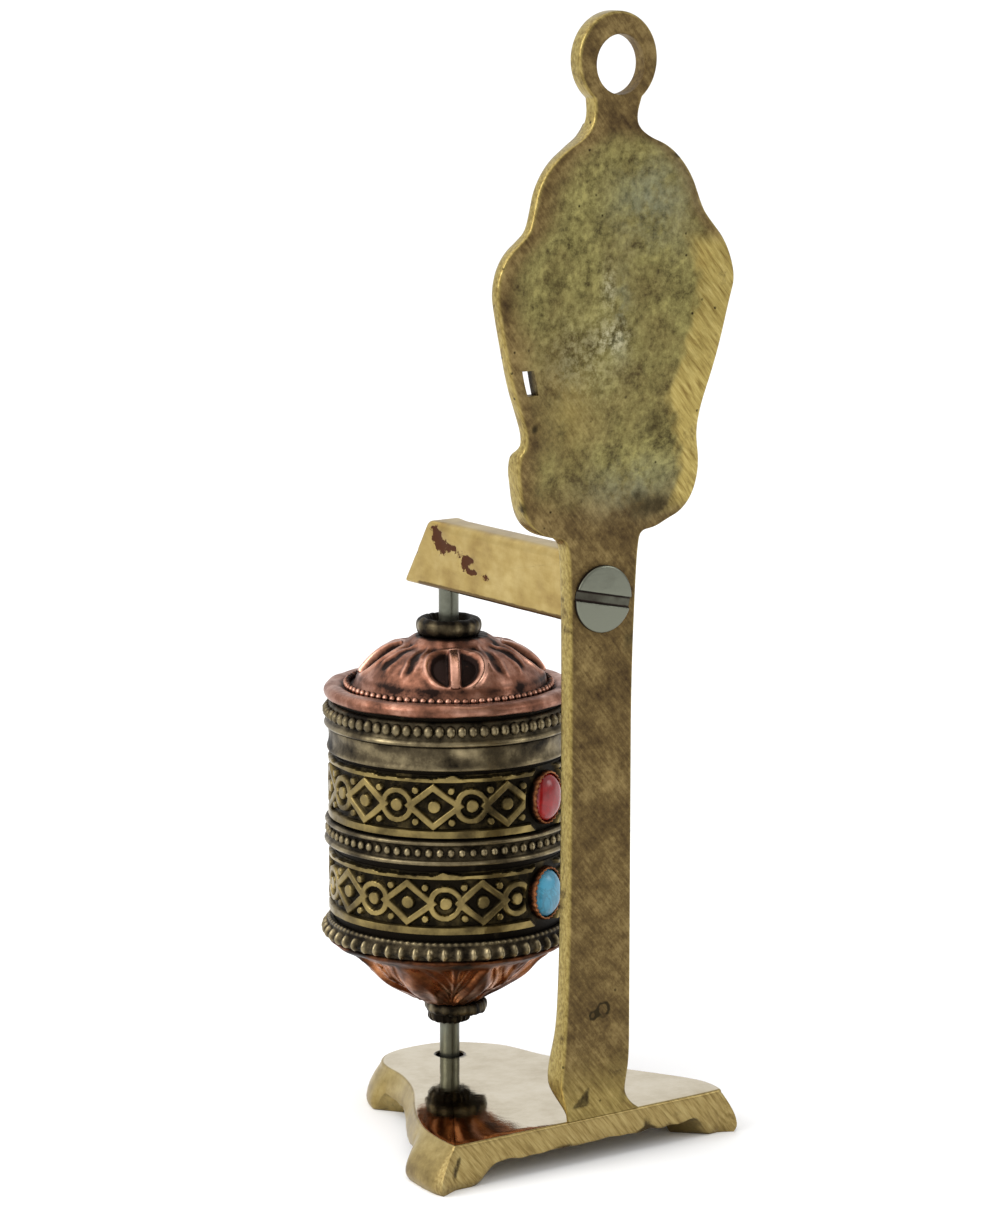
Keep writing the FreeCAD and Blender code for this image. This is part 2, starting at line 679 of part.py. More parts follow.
def make_scroll():
    """Rolled paper prayer round the axle, and the thread that ties it."""
    bottom = f"{DRUM_BOTTOM} + scroll_end_gap"
    height = f"{BRIM_TOP} - {DRUM_BOTTOM} - 2 * scroll_end_gap"
    keep(ring("prayer_scroll", BORE, "scroll_radius", bottom, height))
    tie = f"{bottom} + ({height}) / 2 - thread_width / 2"
    keep(ring("scroll_thread", "scroll_radius + seat_gap", "scroll_radius + thread_thickness", tie, "thread_width"))


make_base_plate()
make_upright()
make_arm()
make_arm_screw()
make_axle()
make_caps()
make_collars()
make_shell_and_rings()
make_bands_and_stones()
make_scroll()
doc.recompute()


# ---------------------------------------------------------------- check and write

for item in doc.Objects:
    if "Invalid" in item.State or "Error" in item.State:
        raise RuntimeError(f"{item.Label} failed: {item.State}")
os.makedirs("parts", exist_ok=True)
for node in nodes:
    if node.Shape.isNull() or not node.Shape.isValid() or len(node.Shape.Solids) != 1:
        raise RuntimeError(f"{node.Label} is not one valid solid")
for node in nodes:
    node.Shape.exportStep(f"parts/{node.Label}.step")
    box = node.Shape.BoundBox
    size = f"{box.XLength:.2f} x {box.YLength:.2f} x {box.ZLength:.2f} mm"
    print(f"{node.Label}: {node.Shape.Volume:.1f} mm3, {size}, from z {box.ZMin:.2f} to {box.ZMax:.2f}")
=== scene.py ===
# %% [markdown]
# # A prayer wheel, piece by piece
# The object is a small votive prayer wheel: a copper and brass drum
# turns on a steel axle inside a cast brass stand.
# The stand is one foot plate, one arm and one upright whose top is a plaque with a ring to hang it by.
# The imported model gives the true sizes, and each piece here is a
# finer surface that sits exactly where it does.

# %% The frame
import math
import bmesh
import bpy
import numpy as np
from mathutils import Matrix, Vector


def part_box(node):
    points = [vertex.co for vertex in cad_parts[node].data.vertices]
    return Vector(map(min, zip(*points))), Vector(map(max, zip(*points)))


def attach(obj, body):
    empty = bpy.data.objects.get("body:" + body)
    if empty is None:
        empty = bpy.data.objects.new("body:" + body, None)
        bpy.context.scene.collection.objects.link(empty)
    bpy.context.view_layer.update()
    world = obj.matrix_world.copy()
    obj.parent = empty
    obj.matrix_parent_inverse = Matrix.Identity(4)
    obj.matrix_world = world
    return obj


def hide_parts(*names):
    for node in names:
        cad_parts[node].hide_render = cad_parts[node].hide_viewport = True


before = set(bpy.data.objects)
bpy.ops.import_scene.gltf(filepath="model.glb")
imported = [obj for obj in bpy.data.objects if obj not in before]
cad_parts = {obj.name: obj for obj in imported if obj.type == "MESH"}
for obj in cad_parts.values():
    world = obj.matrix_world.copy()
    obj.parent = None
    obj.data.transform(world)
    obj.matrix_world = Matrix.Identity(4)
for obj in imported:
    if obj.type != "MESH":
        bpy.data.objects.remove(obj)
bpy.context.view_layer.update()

# %% [markdown]
# ## Sizes that every piece shares
# All lengths below are in millimetres and are turned into metres when a mesh is made.
# The drum's heights and the arm's come from the imported model, so they follow when it changes.
# The outlines of the foot plate and the upright are listed points.

# %% Places read from the model
MM = 0.001


def span(node):
    """Lowest and highest corner of a model node, in millimetres."""
    low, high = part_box(node)
    return np.array(low) / MM, np.array(high) / MM


axle_low, axle_high = span("axle")
AXLE_Y = float(axle_low[1] + axle_high[1]) / 2
AXLE_RADIUS = float(axle_high[0] - axle_low[0]) / 2
BASE_TOP = float(span("base_plate")[1][2])
REAR = float(span("base_plate")[1][1]) - AXLE_Y
SEAT = 17.22  # inner radius of each ring on the shell, in millimetres
CAP_BORE = 1.55  # hole for the axle in the dome and the bowl
COLLAR_BORE = 1.52  # hole for the axle in the two collars
print("axle at y", round(AXLE_Y, 3), "base top", round(BASE_TOP, 3), "rear face", round(REAR, 3))

# %% [markdown]
# ## Three small tools
# A surface is a grid of points: one number runs along its rows and one along its columns.
# Every piece is such a grid, so one function can join
# neighbouring points into four-sided faces for all of them.
# A second softens the corners of an outline, and a third spaces its points evenly.

# %% Grids and outlines


def quads(rows, columns, closed=False, start=0):
    """Corner numbers of the faces between neighbouring rows and columns;
    a closed grid joins its last column to its first."""
    r = np.arange(rows - 1)[:, None]
    c = np.arange(columns if closed else columns - 1)[None, :]
    a = start + r * columns + c
    b = start + r * columns + (c + 1) % columns
    return np.stack([a, b, b + columns, a + columns], axis=-1).reshape(-1, 4)


def soften(points, rounds=3, closed=False):
    """Corner cutting: each round replaces a corner by two points,
    a quarter of the way along its two sides."""
    p = np.asarray(points, float)
    for _ in range(rounds):
        q = np.vstack([p, p[:1]]) if closed else p
        near = 0.75 * q[:-1] + 0.25 * q[1:]
        far = 0.25 * q[:-1] + 0.75 * q[1:]
        cut = np.stack([near, far], axis=1).reshape(-1, p.shape[1])
        p = cut if closed else np.vstack([p[:1], cut[1:-1], p[-1:]])
    return p


def spaced(points, count, closed=False):
    """The same path with count points at equal distances along it."""
    p = np.asarray(points, float)
    if closed:
        p = np.vstack([p, p[:1]])
    run = np.concatenate([[0], np.cumsum(np.linalg.norm(np.diff(p, axis=0), axis=1))])
    at = np.linspace(0, run[-1], count + 1)[:-1] if closed else np.linspace(0, run[-1], count)
    return np.stack([np.interp(at, run, p[:, k]) for k in range(p.shape[1])], axis=1)


def smooth(low, high, x):
    """Zero below low, one above high, and an S-shaped rise between them."""
    t = np.clip((x - low) / (high - low), 0, 1)
    return t * t * (3 - 2 * t)


def spot(x, z, at_x, at_z, wide, high):
    """One at a place, falling off as a bell over a width and a height."""
    return np.exp(-((x - at_x) / wide) ** 2 - ((z - at_z) / high) ** 2)


def ripple(x, y, seed=0.0):
    """A gentle unevenness between -1 and 1: the mean of four sine waves of unlike lengths and directions."""
    a = np.sin(1.3 * x + 0.7 * y + seed) + np.sin(0.6 * x - 1.7 * y + 2.1 * seed)
    b = np.sin(2.9 * x + 1.9 * y + 1.3 * seed) + np.sin(1.1 * y - 3.1 * x + 0.4 * seed)
    return (a + b) / 4


print("tools ready")

# %% [markdown]
# ## From points to a piece
# A piece gets its mesh, its finish, the body that it rides on and the model node that it stands for.
# Points that coincide are welded, which closes seams and poles.
# Each point also carries a number called relief: 0 in the
# hollows, where dirt stays, and 1 on the rubbed tops; on the axle and the screw head it also carries painted
# shade.

# %% Making a piece


def make_piece(name, points, faces, finish, body, stands_for=(), relief=0.6, marks=None, crease=32):
    """Builds the mesh from millimetre points about the axle, welds
    it, turns its faces outwards and lets it ride."""
    p = np.asarray(points, float).reshape(-1, 3).copy()
    p[:, 1] += AXLE_Y
    mesh = bpy.data.meshes.new(name)
    mesh.from_pydata((p * MM).tolist(), [], np.asarray(faces).tolist())
    for label, values in {"relief": relief, **(marks or {})}.items():
        layer = mesh.attributes.new(label, "FLOAT", "POINT")
        layer.data.foreach_set("value", np.broadcast_to(values, (len(p),)).astype(np.float32).copy())
    welded = bmesh.new()
    welded.from_mesh(mesh)
    bmesh.ops.remove_doubles(welded, verts=welded.verts, dist=2e-7)
    bmesh.ops.recalc_face_normals(welded, faces=welded.faces)
    welded.to_mesh(mesh)
    welded.free()
    mesh.shade_smooth()
    mesh.set_sharp_from_angle(angle=math.radians(crease))
    mesh.materials.append(finish)
    piece = bpy.data.objects.new(name, mesh)
    bpy.context.scene.collection.objects.link(piece)
    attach(piece, body)
    if stands_for:
        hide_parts(*stands_for)
    print(name, len(mesh.polygons), "faces")
    return piece


def turned(profile, steps, swell=None, sway=None):
    """A turned surface: at angle a the profile's radius r and height z give (r cos a, r sin a, z).

    swell is pushed out along the profile's own normal, and sway shifts whole rows sideways.
    """
    profile = np.asarray(profile, float)
    a = np.linspace(0, 2 * np.pi, steps, endpoint=False)
    step = np.gradient(profile, axis=0)
    normal = np.stack([step[:, 1], -step[:, 0]], axis=1)
    normal /= np.linalg.norm(normal, axis=1, keepdims=True) + 1e-9
    push = np.zeros((len(profile), steps)) if swell is None else swell
    r = profile[:, :1] + normal[:, :1] * push
    z = profile[:, 1:] + normal[:, 1:] * push
    points = np.stack([r * np.cos(a), r * np.sin(a), np.broadcast_to(z, r.shape)], axis=-1)
    if sway is not None:
        points[..., :2] += np.asarray(sway).reshape(-1, 1, 2)
    return points.reshape(-1, 3), quads(len(profile), steps, closed=True)


print("maker ready")

# %% [markdown]
# ## Finishes
# Every finish is metal, stone or paper that has been handled for years.
# The maker below mixes three colours by the relief number plus a mottled noise: dirt, body and rubbed metal.
# A long thin noise makes the file marks, and a fine one pits the surface.

# %% The finish maker


def tint(red, green, blue):
    """A colour given as it looks on a screen, 0 to 255, turned
    into the linear numbers that a shader uses."""
    c = np.array([red, green, blue]) / 255
    return (*np.where(c < 0.04045, c / 12.92, ((c + 0.055) / 1.055) ** 2.4).tolist(), 1.0)


class Finish:
    """A material under construction; each method adds nodes and
    returns the socket that carries their result."""

    def __init__(self, name):
        self.material = bpy.data.materials.new(name)
        self.material.use_nodes = True
        self.tree = self.material.node_tree
        self.shader = self.tree.nodes["Principled BSDF"]
        self.place = self.add("ShaderNodeTexCoord").outputs["Object"]

    def add(self, kind, **settings):
        node = self.tree.nodes.new(kind)
        for key, value in settings.items():
            setattr(node, key, value)
        return node

    def feed(self, socket, value):
        """Links a socket, or sets a plain number or colour on it."""
        if hasattr(value, "is_output"):
            self.tree.links.new(value, socket)
        else:
            socket.default_value = value

    def noise(self, scale, detail=6.0, rough=0.6, turn=None, stretch=None, warp=0.0):
        """Cloudy noise, or streaks when the place is turned and stretched first."""
        node = self.add("ShaderNodeTexNoise")
        node.inputs["Scale"].default_value = scale
        node.inputs["Detail"].default_value = detail
        node.inputs["Roughness"].default_value = rough
        node.inputs["Distortion"].default_value = warp
        place = self.place
        if turn is not None:
            mapping = self.add("ShaderNodeMapping")
            mapping.inputs["Rotation"].default_value = [math.radians(t) for t in turn]
            self.feed(mapping.inputs["Vector"], place)
            squeeze = self.add("ShaderNodeMapping")
            squeeze.inputs["Scale"].default_value = stretch
            self.feed(squeeze.inputs["Vector"], mapping.outputs[0])
            place = squeeze.outputs[0]
        self.feed(node.inputs["Vector"], place)
        return node.outputs["Fac"]

    def pits(self, scale):
        """Distance to the nearest of scattered points: small at each pit."""
        node = self.add("ShaderNodeTexVoronoi")
        node.inputs["Scale"].default_value = scale
        self.feed(node.inputs["Vector"], self.place)
        return node.outputs["Distance"]

    def mark(self, label):
        return self.add("ShaderNodeAttribute", attribute_name=label).outputs["Fac"]

    def sum(self, first, second, how="ADD", third=0.5):
        node = self.add("ShaderNodeMath", operation=how)
        self.feed(node.inputs[0], first)
        self.feed(node.inputs[1], second)
        if how == "MULTIPLY_ADD":
            self.feed(node.inputs[2], third)
        return node.outputs[0]

    def band(self, value, low, high, to_low=0.0, to_high=1.0):
        """A smooth step from low to high."""
        node = self.add("ShaderNodeMapRange", interpolation_type="SMOOTHSTEP")
        self.feed(node.inputs["Value"], value)
        for label, number in (("From Min", low), ("From Max", high), ("To Min", to_low),
                              ("To Max", to_high)):
            node.inputs[label].default_value = number
        return node.outputs[0]

    def ramp(self, value, stops):
        node = self.add("ShaderNodeValToRGB")
        points = node.color_ramp.elements
        while len(points) < len(stops):
            points.new(0.5)
        for point, (at, colour) in zip(points, stops):
            point.position = at
            point.color = colour
        self.feed(node.inputs[0], value)
        return node.outputs[0]

    def mix(self, share, first, second):
        node = self.add("ShaderNodeMix", data_type="RGBA")
        self.feed(node.inputs[0], share)
        self.feed(node.inputs[6], first)
        self.feed(node.inputs[7], second)
        return node.outputs[2]

    def bump(self, height, strength, depth, over=None):
        node = self.add("ShaderNodeBump")
        node.inputs["Strength"].default_value = strength
        node.inputs["Distance"].default_value = depth
        self.feed(node.inputs["Height"], height)
        if over is not None:
            self.feed(node.inputs["Normal"], over)
        return node.outputs[0]

    def done(self, colour, roughness, normal, metallic=1.0):
        self.feed(self.shader.inputs["Base Color"], colour)
        self.feed(self.shader.inputs["Roughness"], roughness)
        self.feed(self.shader.inputs["Metallic"], metallic)
        self.feed(self.shader.inputs["Normal"], normal)
        return self.material


def worn_metal(name, dirt, body, rubbed, rough_dirt=0.6, rough_rubbed=0.28, mottle=0.35, grain=700.0):
    """Antique metal: the relief number plus cloudy noise runs through dirt, body and rubbed metal."""
    f = Finish(name)
    cloud = f.noise(260.0, 8.0, 0.65)
    fine = f.noise(grain, 6.0, 0.7)
    level = f.sum(f.mark("relief"), f.sum(f.sum(cloud, -0.5), mottle * 2, "MULTIPLY"))
    level = f.sum(level, f.sum(f.sum(fine, -0.5), mottle, "MULTIPLY"))
    colour = f.ramp(level, [(0.12, dirt), (0.45, body), (0.95, rubbed)])
    roughness = f.band(level, 0.1, 0.9, rough_dirt, rough_rubbed)
    scratch = f.noise(900.0, 3.0, 0.5, turn=(0, 0, 25), stretch=(1.0, 1.0, 0.12))
    normal = f.bump(fine, 0.35, 0.00012, f.bump(scratch, 0.2, 0.00006))
    return f.done(colour, roughness, normal)


antique_brass = worn_metal("antique_brass", tint(28, 24, 17), tint(88, 76, 48), tint(146, 128, 80),
                           mottle=0.5)
dark_brass = worn_metal("dark_brass", tint(26, 22, 17), tint(78, 69, 52), tint(150, 136, 104), mottle=0.55)
antique_copper = worn_metal("antique_copper", tint(34, 24, 21), tint(126, 84, 66), tint(212, 162, 140),
                            0.55, 0.25, 0.5)
dark_copper = worn_metal("dark_copper", tint(30, 20, 15), tint(112, 68, 42), tint(196, 132, 88), 0.55, 0.24,
                         0.55)
print("worn metals:", antique_brass.name, dark_brass.name, antique_copper.name, dark_copper.name)

# %% [markdown]
# ## Filed and aged castings
# The upright is brass that has been filed flat and has then gone
# olive brown, paler and greyer in the plaque's middle.
# Marks stored on its points say where it is freshly filed, where
# grime lies and where a pale bloom has grown.
# The arm and the foot plate are the same metal, kept bright: one
# with small brown pits, one polished like a mirror.

# %% Finishes of the castings


def aged_brass_finish():
    """Olive patina with file scratches, bright filed border, grey middle, pale bloom and dark grime."""
    f = Finish("aged_brass")
    cloud = f.noise(150.0, 8.0, 0.7)
    speck = f.noise(900.0, 5.0, 0.75)
    file_marks = f.noise(2400.0, 4.0, 0.6, turn=(0, -40, 0), stretch=(1.0, 1.0, 0.1))
    streaks = f.sum(f.sum(file_marks, -0.5), 0.4, "MULTIPLY")
    patina = f.ramp(f.sum(f.sum(cloud, streaks), f.sum(f.sum(speck, -0.5), 0.5, "MULTIPLY")),
                    [(0.26, tint(58, 44, 30)), (0.5, tint(103, 85, 53)), (0.74, tint(146, 126, 82))])
    middle = f.ramp(f.sum(f.noise(230.0, 8.0, 0.7), f.sum(f.sum(speck, -0.5), 1.1, "MULTIPLY")),
                    [(0.24, tint(68, 60, 36)), (0.46, tint(118, 110, 67)), (0.72, tint(156, 148, 92))])
    bright = f.ramp(file_marks,
                    [(0.3, tint(120, 100, 54)), (0.52, tint(160, 142, 82)), (0.75, tint(188, 170, 108))])
    drift = f.band(f.noise(70.0, 4.0, 0.6), 0.4, 0.6, 0.65, 1.0)
    colour = f.mix(f.sum(f.mark("field"), drift, "MULTIPLY"), patina, middle)
    cool = f.ramp(speck, [(0.3, tint(98, 100, 78)), (0.7, tint(146, 148, 122))])
    colour = f.mix(f.sum(f.mark("cool"), f.band(cloud, 0.35, 0.6), "MULTIPLY"), colour, cool)
    pale = f.ramp(speck, [(0.35, tint(128, 122, 84)), (0.65, tint(196, 190, 158))])
    colour = f.mix(f.sum(f.mark("bloom"), f.band(speck, 0.4, 0.6), "MULTIPLY"), colour, pale)
    filed = f.sum(f.mark("filed"), f.band(cloud, 0.3, 0.46), "MULTIPLY")
    colour = f.mix(filed, colour, bright)
    soot = f.band(f.sum(f.mark("grime_and_shade"), f.sum(f.sum(cloud, -0.5), 1.4, "MULTIPLY")), 0.35, 0.75)
    colour = f.mix(soot, colour, tint(50, 42, 26))
    dots = f.band(f.pits(520.0), 0.16, 0.06)
    dots = f.sum(dots, f.band(cloud, 0.5, 0.62), "MULTIPLY")
    colour = f.mix(dots, colour, tint(44, 36, 22))
    roughness = f.band(f.sum(filed, f.sum(cloud, 0.3, "MULTIPLY")), 0.0, 1.1, 0.55, 0.3)
    normal = f.bump(file_marks, 0.35, 0.0001, f.bump(speck, 0.4, 0.00014, f.bump(cloud, 0.3, 0.0004)))
    return f.done(colour, roughness, normal)


def bright_brass_finish():
    """Clean pale gold with faint draw marks, and brown pits where the mark called pitted says."""
    f = Finish("bright_brass")
    cloud = f.noise(170.0, 6.0, 0.6)
    draw = f.noise(900.0, 4.0, 0.6, turn=(8, 0, 0), stretch=(1.0, 0.3, 1.0))
    colour = f.ramp(f.sum(cloud, f.sum(f.sum(draw, -0.5), 0.3, "MULTIPLY")),
                    [(0.28, tint(136, 111, 62)), (0.5, tint(164, 141, 84)), (0.75, tint(184, 163, 108))])
    speck = f.noise(900.0, 5.0, 0.7)
    pit = f.band(f.sum(f.mark("pitted"), f.sum(f.sum(speck, -0.5), 2.6, "MULTIPLY")), 0.5, 0.75)
    colour = f.mix(pit, colour, tint(84, 52, 34))
    # On the arm this mark is painted shade: it darkens the lower edge and the foot by the upright towards
    # dark brown.
    edge = f.band(f.sum(f.mark("grime_and_shade"), f.sum(f.sum(speck, -0.5), 0.8, "MULTIPLY")), 0.4, 0.9)
    colour = f.mix(edge, colour, tint(92, 72, 38))
    roughness = f.band(pit, 0.0, 1.0, 0.34, 0.7)
    height = f.sum(f.sum(draw, 0.4, "MULTIPLY"), pit, "SUBTRACT")
    normal = f.bump(height, 0.35, 0.00016, f.bump(speck, 0.15, 0.00008))
    return f.done(colour, roughness, normal)


def polished_brass_finish():
    """Mirror-bright top by the mark called mirror; satin gold flanks with soft dents elsewhere."""
    f = Finish("polished_brass")
    cloud = f.noise(140.0, 6.0, 0.6)
    speck = f.noise(800.0, 5.0, 0.7)
    flank = f.ramp(f.sum(cloud, f.sum(f.sum(speck, -0.5), 0.4, "MULTIPLY")),
                   [(0.26, tint(108, 90, 54)), (0.5, tint(150, 131, 82)), (0.76, tint(182, 164, 112))])
    top = f.ramp(f.sum(cloud, f.sum(f.sum(speck, -0.5), 0.3, "MULTIPLY")),
                 [(0.3, tint(186, 172, 142)), (0.55, tint(206, 194, 168)), (0.8, tint(218, 208, 186))])
    colour = f.mix(f.mark("mirror"), flank, top)
    file_marks = f.noise(2400.0, 4.0, 0.6, turn=(0, -40, 0), stretch=(1.0, 1.0, 0.1))
    scored = f.ramp(file_marks,
                    [(0.32, tint(112, 92, 54)), (0.5, tint(150, 130, 82)), (0.7, tint(178, 160, 108))])
    colour = f.mix(f.mark("filed"), colour, scored)
    # On the foot plate this mark is painted shade round the axle's hole, along a crease, under the plate and
    # where the upright stands, plus real stains on the rear face.
    grime_and_shade = f.band(f.sum(f.mark("grime_and_shade"), f.sum(f.sum(speck, -0.5), 0.7, "MULTIPLY")), 0.4, 0.85)
    colour = f.mix(grime_and_shade, colour, tint(64, 54, 36))
    roughness = f.band(f.sum(f.mark("mirror"), f.sum(cloud, 0.12, "MULTIPLY"), "SUBTRACT"), 0.0, 1.0, 0.36,
                       0.04)
    normal = f.bump(speck, 0.1, 0.00005, f.bump(cloud, 0.12, 0.0003))
    return f.done(colour, roughness, normal)


def steel_finish():
    """Grey steel with fine rings of wear and rusty dirt in its hollows."""
    f = Finish("steel")
    cloud = f.noise(240.0, 6.0, 0.65)
    rings = f.noise(900.0, 3.0, 0.6, turn=(0, 0, 0), stretch=(0.08, 0.08, 1.0))
    level = f.sum(f.mark("relief"), f.sum(f.sum(cloud, -0.5), 0.7, "MULTIPLY"))
    colour = f.ramp(level, [(0.1, tint(46, 37, 33)), (0.42, tint(80, 79, 69)), (0.8, tint(113, 115, 102))])
    roughness = f.band(level, 0.1, 0.8, 0.6, 0.3)
    normal = f.bump(rings, 0.3, 0.00008, f.bump(cloud, 0.25, 0.0002))
    return f.done(colour, roughness, normal)


aged_brass = aged_brass_finish()
bright_brass = bright_brass_finish()
polished_brass = polished_brass_finish()
steel = steel_finish()
print("castings:", aged_brass.name, bright_brass.name, polished_brass.name, steel.name)

# %% [markdown]
# ## Stone, paper and thread
# Turquoise is a waxy blue stone with brown veins, and coral is an even orange red with faint growth bands.
# The scroll and its thread are hidden in the drum, and they get plain paper and cotton for whoever opens it.

# %% Finishes that are not metal


def stone_finish(name, low, high, vein, vein_share, roughness):
    """Cloudy stone colour with thin veins where a warped noise crosses its middle value."""
    f = Finish(name)
    cloud = f.noise(240.0, 5.0, 0.6)
    line = f.noise(160.0, 5.0, 0.6, turn=(20, 0, 0), stretch=(1.0, 1.0, 1.0), warp=1.5)
    near = f.sum(f.sum(line, -0.5), 2.0, "POWER")
    colour = f.mix(f.band(cloud, 0.35, 0.65), low, high)
    colour = f.mix(f.sum(f.band(near, 0.0012, 0.0001), vein_share, "MULTIPLY"), colour, vein)
    f.shader.inputs["Coat Weight"].default_value = 0.1
    f.shader.inputs["Coat Roughness"].default_value = 0.12
    return f.done(colour, roughness, f.bump(cloud, 0.15, 0.0002), 0.0)


def fibre_finish(name, low, high, scale, stretch):
    """Matt fibre: a streaky noise between two close colours."""
    f = Finish(name)
    streak = f.noise(scale, 5.0, 0.6, turn=(0, 0, 0), stretch=stretch)
    return f.done(f.mix(f.band(streak, 0.3, 0.7), low, high), 0.85, f.bump(streak, 0.4, 0.0001), 0.0)


turquoise = stone_finish("turquoise", tint(44, 124, 156), tint(74, 156, 186), tint(48, 92, 108), 0.4, 0.3)
coral = stone_finish("coral", tint(126, 8, 12), tint(168, 22, 24), tint(96, 12, 14), 0.3, 0.25)
paper = fibre_finish("paper", tint(206, 190, 150), tint(228, 214, 178), 700.0, (1.0, 1.0, 0.05))
cotton = fibre_finish("cotton_thread", tint(150, 40, 34), tint(186, 64, 52), 2500.0, (1.0, 1.0, 0.2))
print("stones and fibres:", turquoise.name, coral.name, paper.name, cotton.name)

# %% [markdown]
# ## The foot plate
# The plate is a casting shaped like a pelt: narrow under the axle, wide at the back, on four splayed feet.
# Its outline is a handful of points with cut corners, and rings of
# that outline run down over the edge to the soles.
# The feet are where the lower edge comes down to the table; between them it arches up.

# %% Foot plate
PLATE = [(11.9, 0.5), (12.1, 3.3), (12.8, 6.6), (15.1, 12.3), (20.6, 20.5), (24.0, 27.5), (25.0, 31.5),
         (25.5, 36.2), (25.4, 38.3), (25.2, 38.4), (12.0, 38.4), (-8.0, 38.4), (-22.2, 38.4),
         (-22.8, 37.6), (-23.3, 34.8), (-22.9, 31.8), (-20.9, 27.6), (-17.8, 22.3), (-14.6, 15.5),
         (-11.6, 8.5), (-10.7, 3.8), (-9.6, 0.0), (-7.4, -2.6), (-5.0, -4.9), (-2.4, -6.4),
         (1.0, -6.9), (5.2, -6.8), (8.6, -5.4), (11.0, -2.6)]
# each foot: where it stands, how far it reaches along the edge, and how far it swells outwards
FEET = [(11.0, -3.4, 5.5, 1.3), (-8.6, -2.6, 4.5, 1.2), (25.0, 35.0, 8.0, 2.4), (-23.4, 36.0, 6.5, 1.5)]
ARCH = 3.0
HOLE = 2.1


def outward(path):
    """Unit normals of a closed path that runs anticlockwise: each step turned a quarter turn clockwise."""
    step = np.roll(path, -1, axis=0) - np.roll(path, 1, axis=0)
    normal = np.stack([step[:, 1], -step[:, 0]], axis=1)
    return normal / np.linalg.norm(normal, axis=1, keepdims=True)


def foot_plate():
    """Rings of one outline: round the axle's hole, out over the
    top, down the flank, and under to the middle."""
    edge = spaced(soften(PLATE, 2, closed=True), 480, closed=True)
    normal = outward(edge)
    foot = np.zeros(len(edge))
    splay = np.zeros(len(edge))
    for x, y, reach, swell in FEET:
        near = 1 - smooth(0.55 * reach, reach, np.hypot(edge[:, 0] - x, edge[:, 1] - y))
        foot = np.maximum(foot, near)
        splay = np.maximum(splay, swell * near)
    scallop = 0.3 * ripple(0.55 * edge[:, 0], 0.55 * edge[:, 1]) * (1 - foot)
    lower = ARCH * (1 - foot) + scallop
    lower = np.maximum(lower, 0)
    rear = smooth(0.6, 0.95, normal[:, 1])
    flare = (0.9 + splay) * (1 - 0.97 * rear)
    angle = np.arctan2(edge[:, 1], edge[:, 0])
    circle = np.stack([np.cos(angle), np.sin(angle)], axis=1)
    top = BASE_TOP
    rings = [(0 * circle, top - 2.6), (HOLE * circle, top - 2.6), (HOLE * circle, top - 0.15),
             (1.08 * HOLE * circle, top)]
    inner = edge - 0.5 * normal
    for t in np.linspace(0.04, 1, 26):
        rings.append(((1 - t) * 1.08 * HOLE * circle + t * inner, top))
    for inset, drop in ((0.3, 0.03), (0.13, 0.12), (0.04, 0.28), (0.0, 0.5)):
        rings.append((edge - inset * normal, top - drop))
    for s in np.linspace(0.08, 1, 14):
        bulge = (flare * math.sin(0.5 * math.pi * min(1.15 * s, 1))
                 - 0.5 * foot * (max(s - 0.8, 0) / 0.2) ** 2)
        place = edge + normal * bulge[:, None]
        rings.append((place, top - 0.5 - s * (top - 0.5 - lower)))
    sole = edge + normal * (flare - 0.5 * foot)[:, None]
    middle = np.array([0.0, 18.0])
    for share, rise in ((0.97, 0.0), (0.8, 0.0), (0.76, 1.0), (0.3, 1.0), (0.0, 1.0)):
        rings.append((middle + (sole - middle) * share, lower + rise * (ARCH + 0.3 - lower)))
    points = np.stack([np.column_stack([xy, np.broadcast_to(z, len(edge))]) for xy, z in rings])
    flat = points.reshape(-1, 3)
    x, y, z = flat.T
    mirror = np.zeros(points.shape[:2])
    mirror[3:30] = 1
    dent = 0.12 * ripple(0.35 * x, 0.35 * y + 0.5 * z) * (1 - mirror.ravel())
    flat[:, 2] += np.where(z > 0.4, dent * (z < top - 0.6), 0)
    # Painted shade: darker round the axle's hole, along a crease on the rear foot near x 25, low on the
    # flanks and under the plate, and on the top where the upright stands. The spots on the rear face are
    # real stains.
    rim = np.exp(-((np.hypot(x, y) - HOLE) / 0.35) ** 2) * (z > top - 1)
    crease_shade = 0.8 * np.exp(-((x - 24.8 + 0.35 * (z - 4)) / 0.6) ** 2) * (y > 36.5) * smooth(6.5, 4.5, z)
    under = 1 - smooth(0.0, 0.7, z - np.tile(lower, len(rings)))
    under = np.maximum(under * (1 - mirror.ravel()), (z < ARCH) * (np.arange(len(flat)) >= 48 * 480))
    joint_shade = np.exp(-((y - 35.6) / 0.5) ** 2) * (np.abs(x) < 7.5) * (z > top - 0.1)
    behind = smooth(37.6, 38.2, y) * (1 - mirror.ravel())
    stain = (0.75 * behind * (spot(x, z, -8.5, 3.4, 1.6, 2.2) + 0.7 * spot(x, z, -14.0, 4.4, 1.6, 1.0)
                              + 0.6 * spot(x, z, 6.0, 3.6, 2.0, 0.9)))
    grime_and_shade = np.clip(1.2 * rim + crease_shade + 0.55 * under + 0.8 * joint_shade + stain, 0, 1.2)
    return make_piece("foot_plate", flat, quads(len(rings), len(edge), closed=True), polished_brass, "stand",
                      ["base_plate"], 0.7,
                      {"mirror": mirror.ravel(), "grime_and_shade": grime_and_shade, "filed": 0.8 * behind}, 40)


plate = foot_plate()

# %% [markdown]
# ## The upright: post, plaque and ring
# The upright is one flat casting, so it is drawn as pairs of
# points: where its left and right edges are as we climb.
# Between the two edges runs a middle line, and at the ring that line opens into the hole.
# The same grid makes the back, which is plainly filed, and the
# front, where a lotus seat and a wheel stand out.

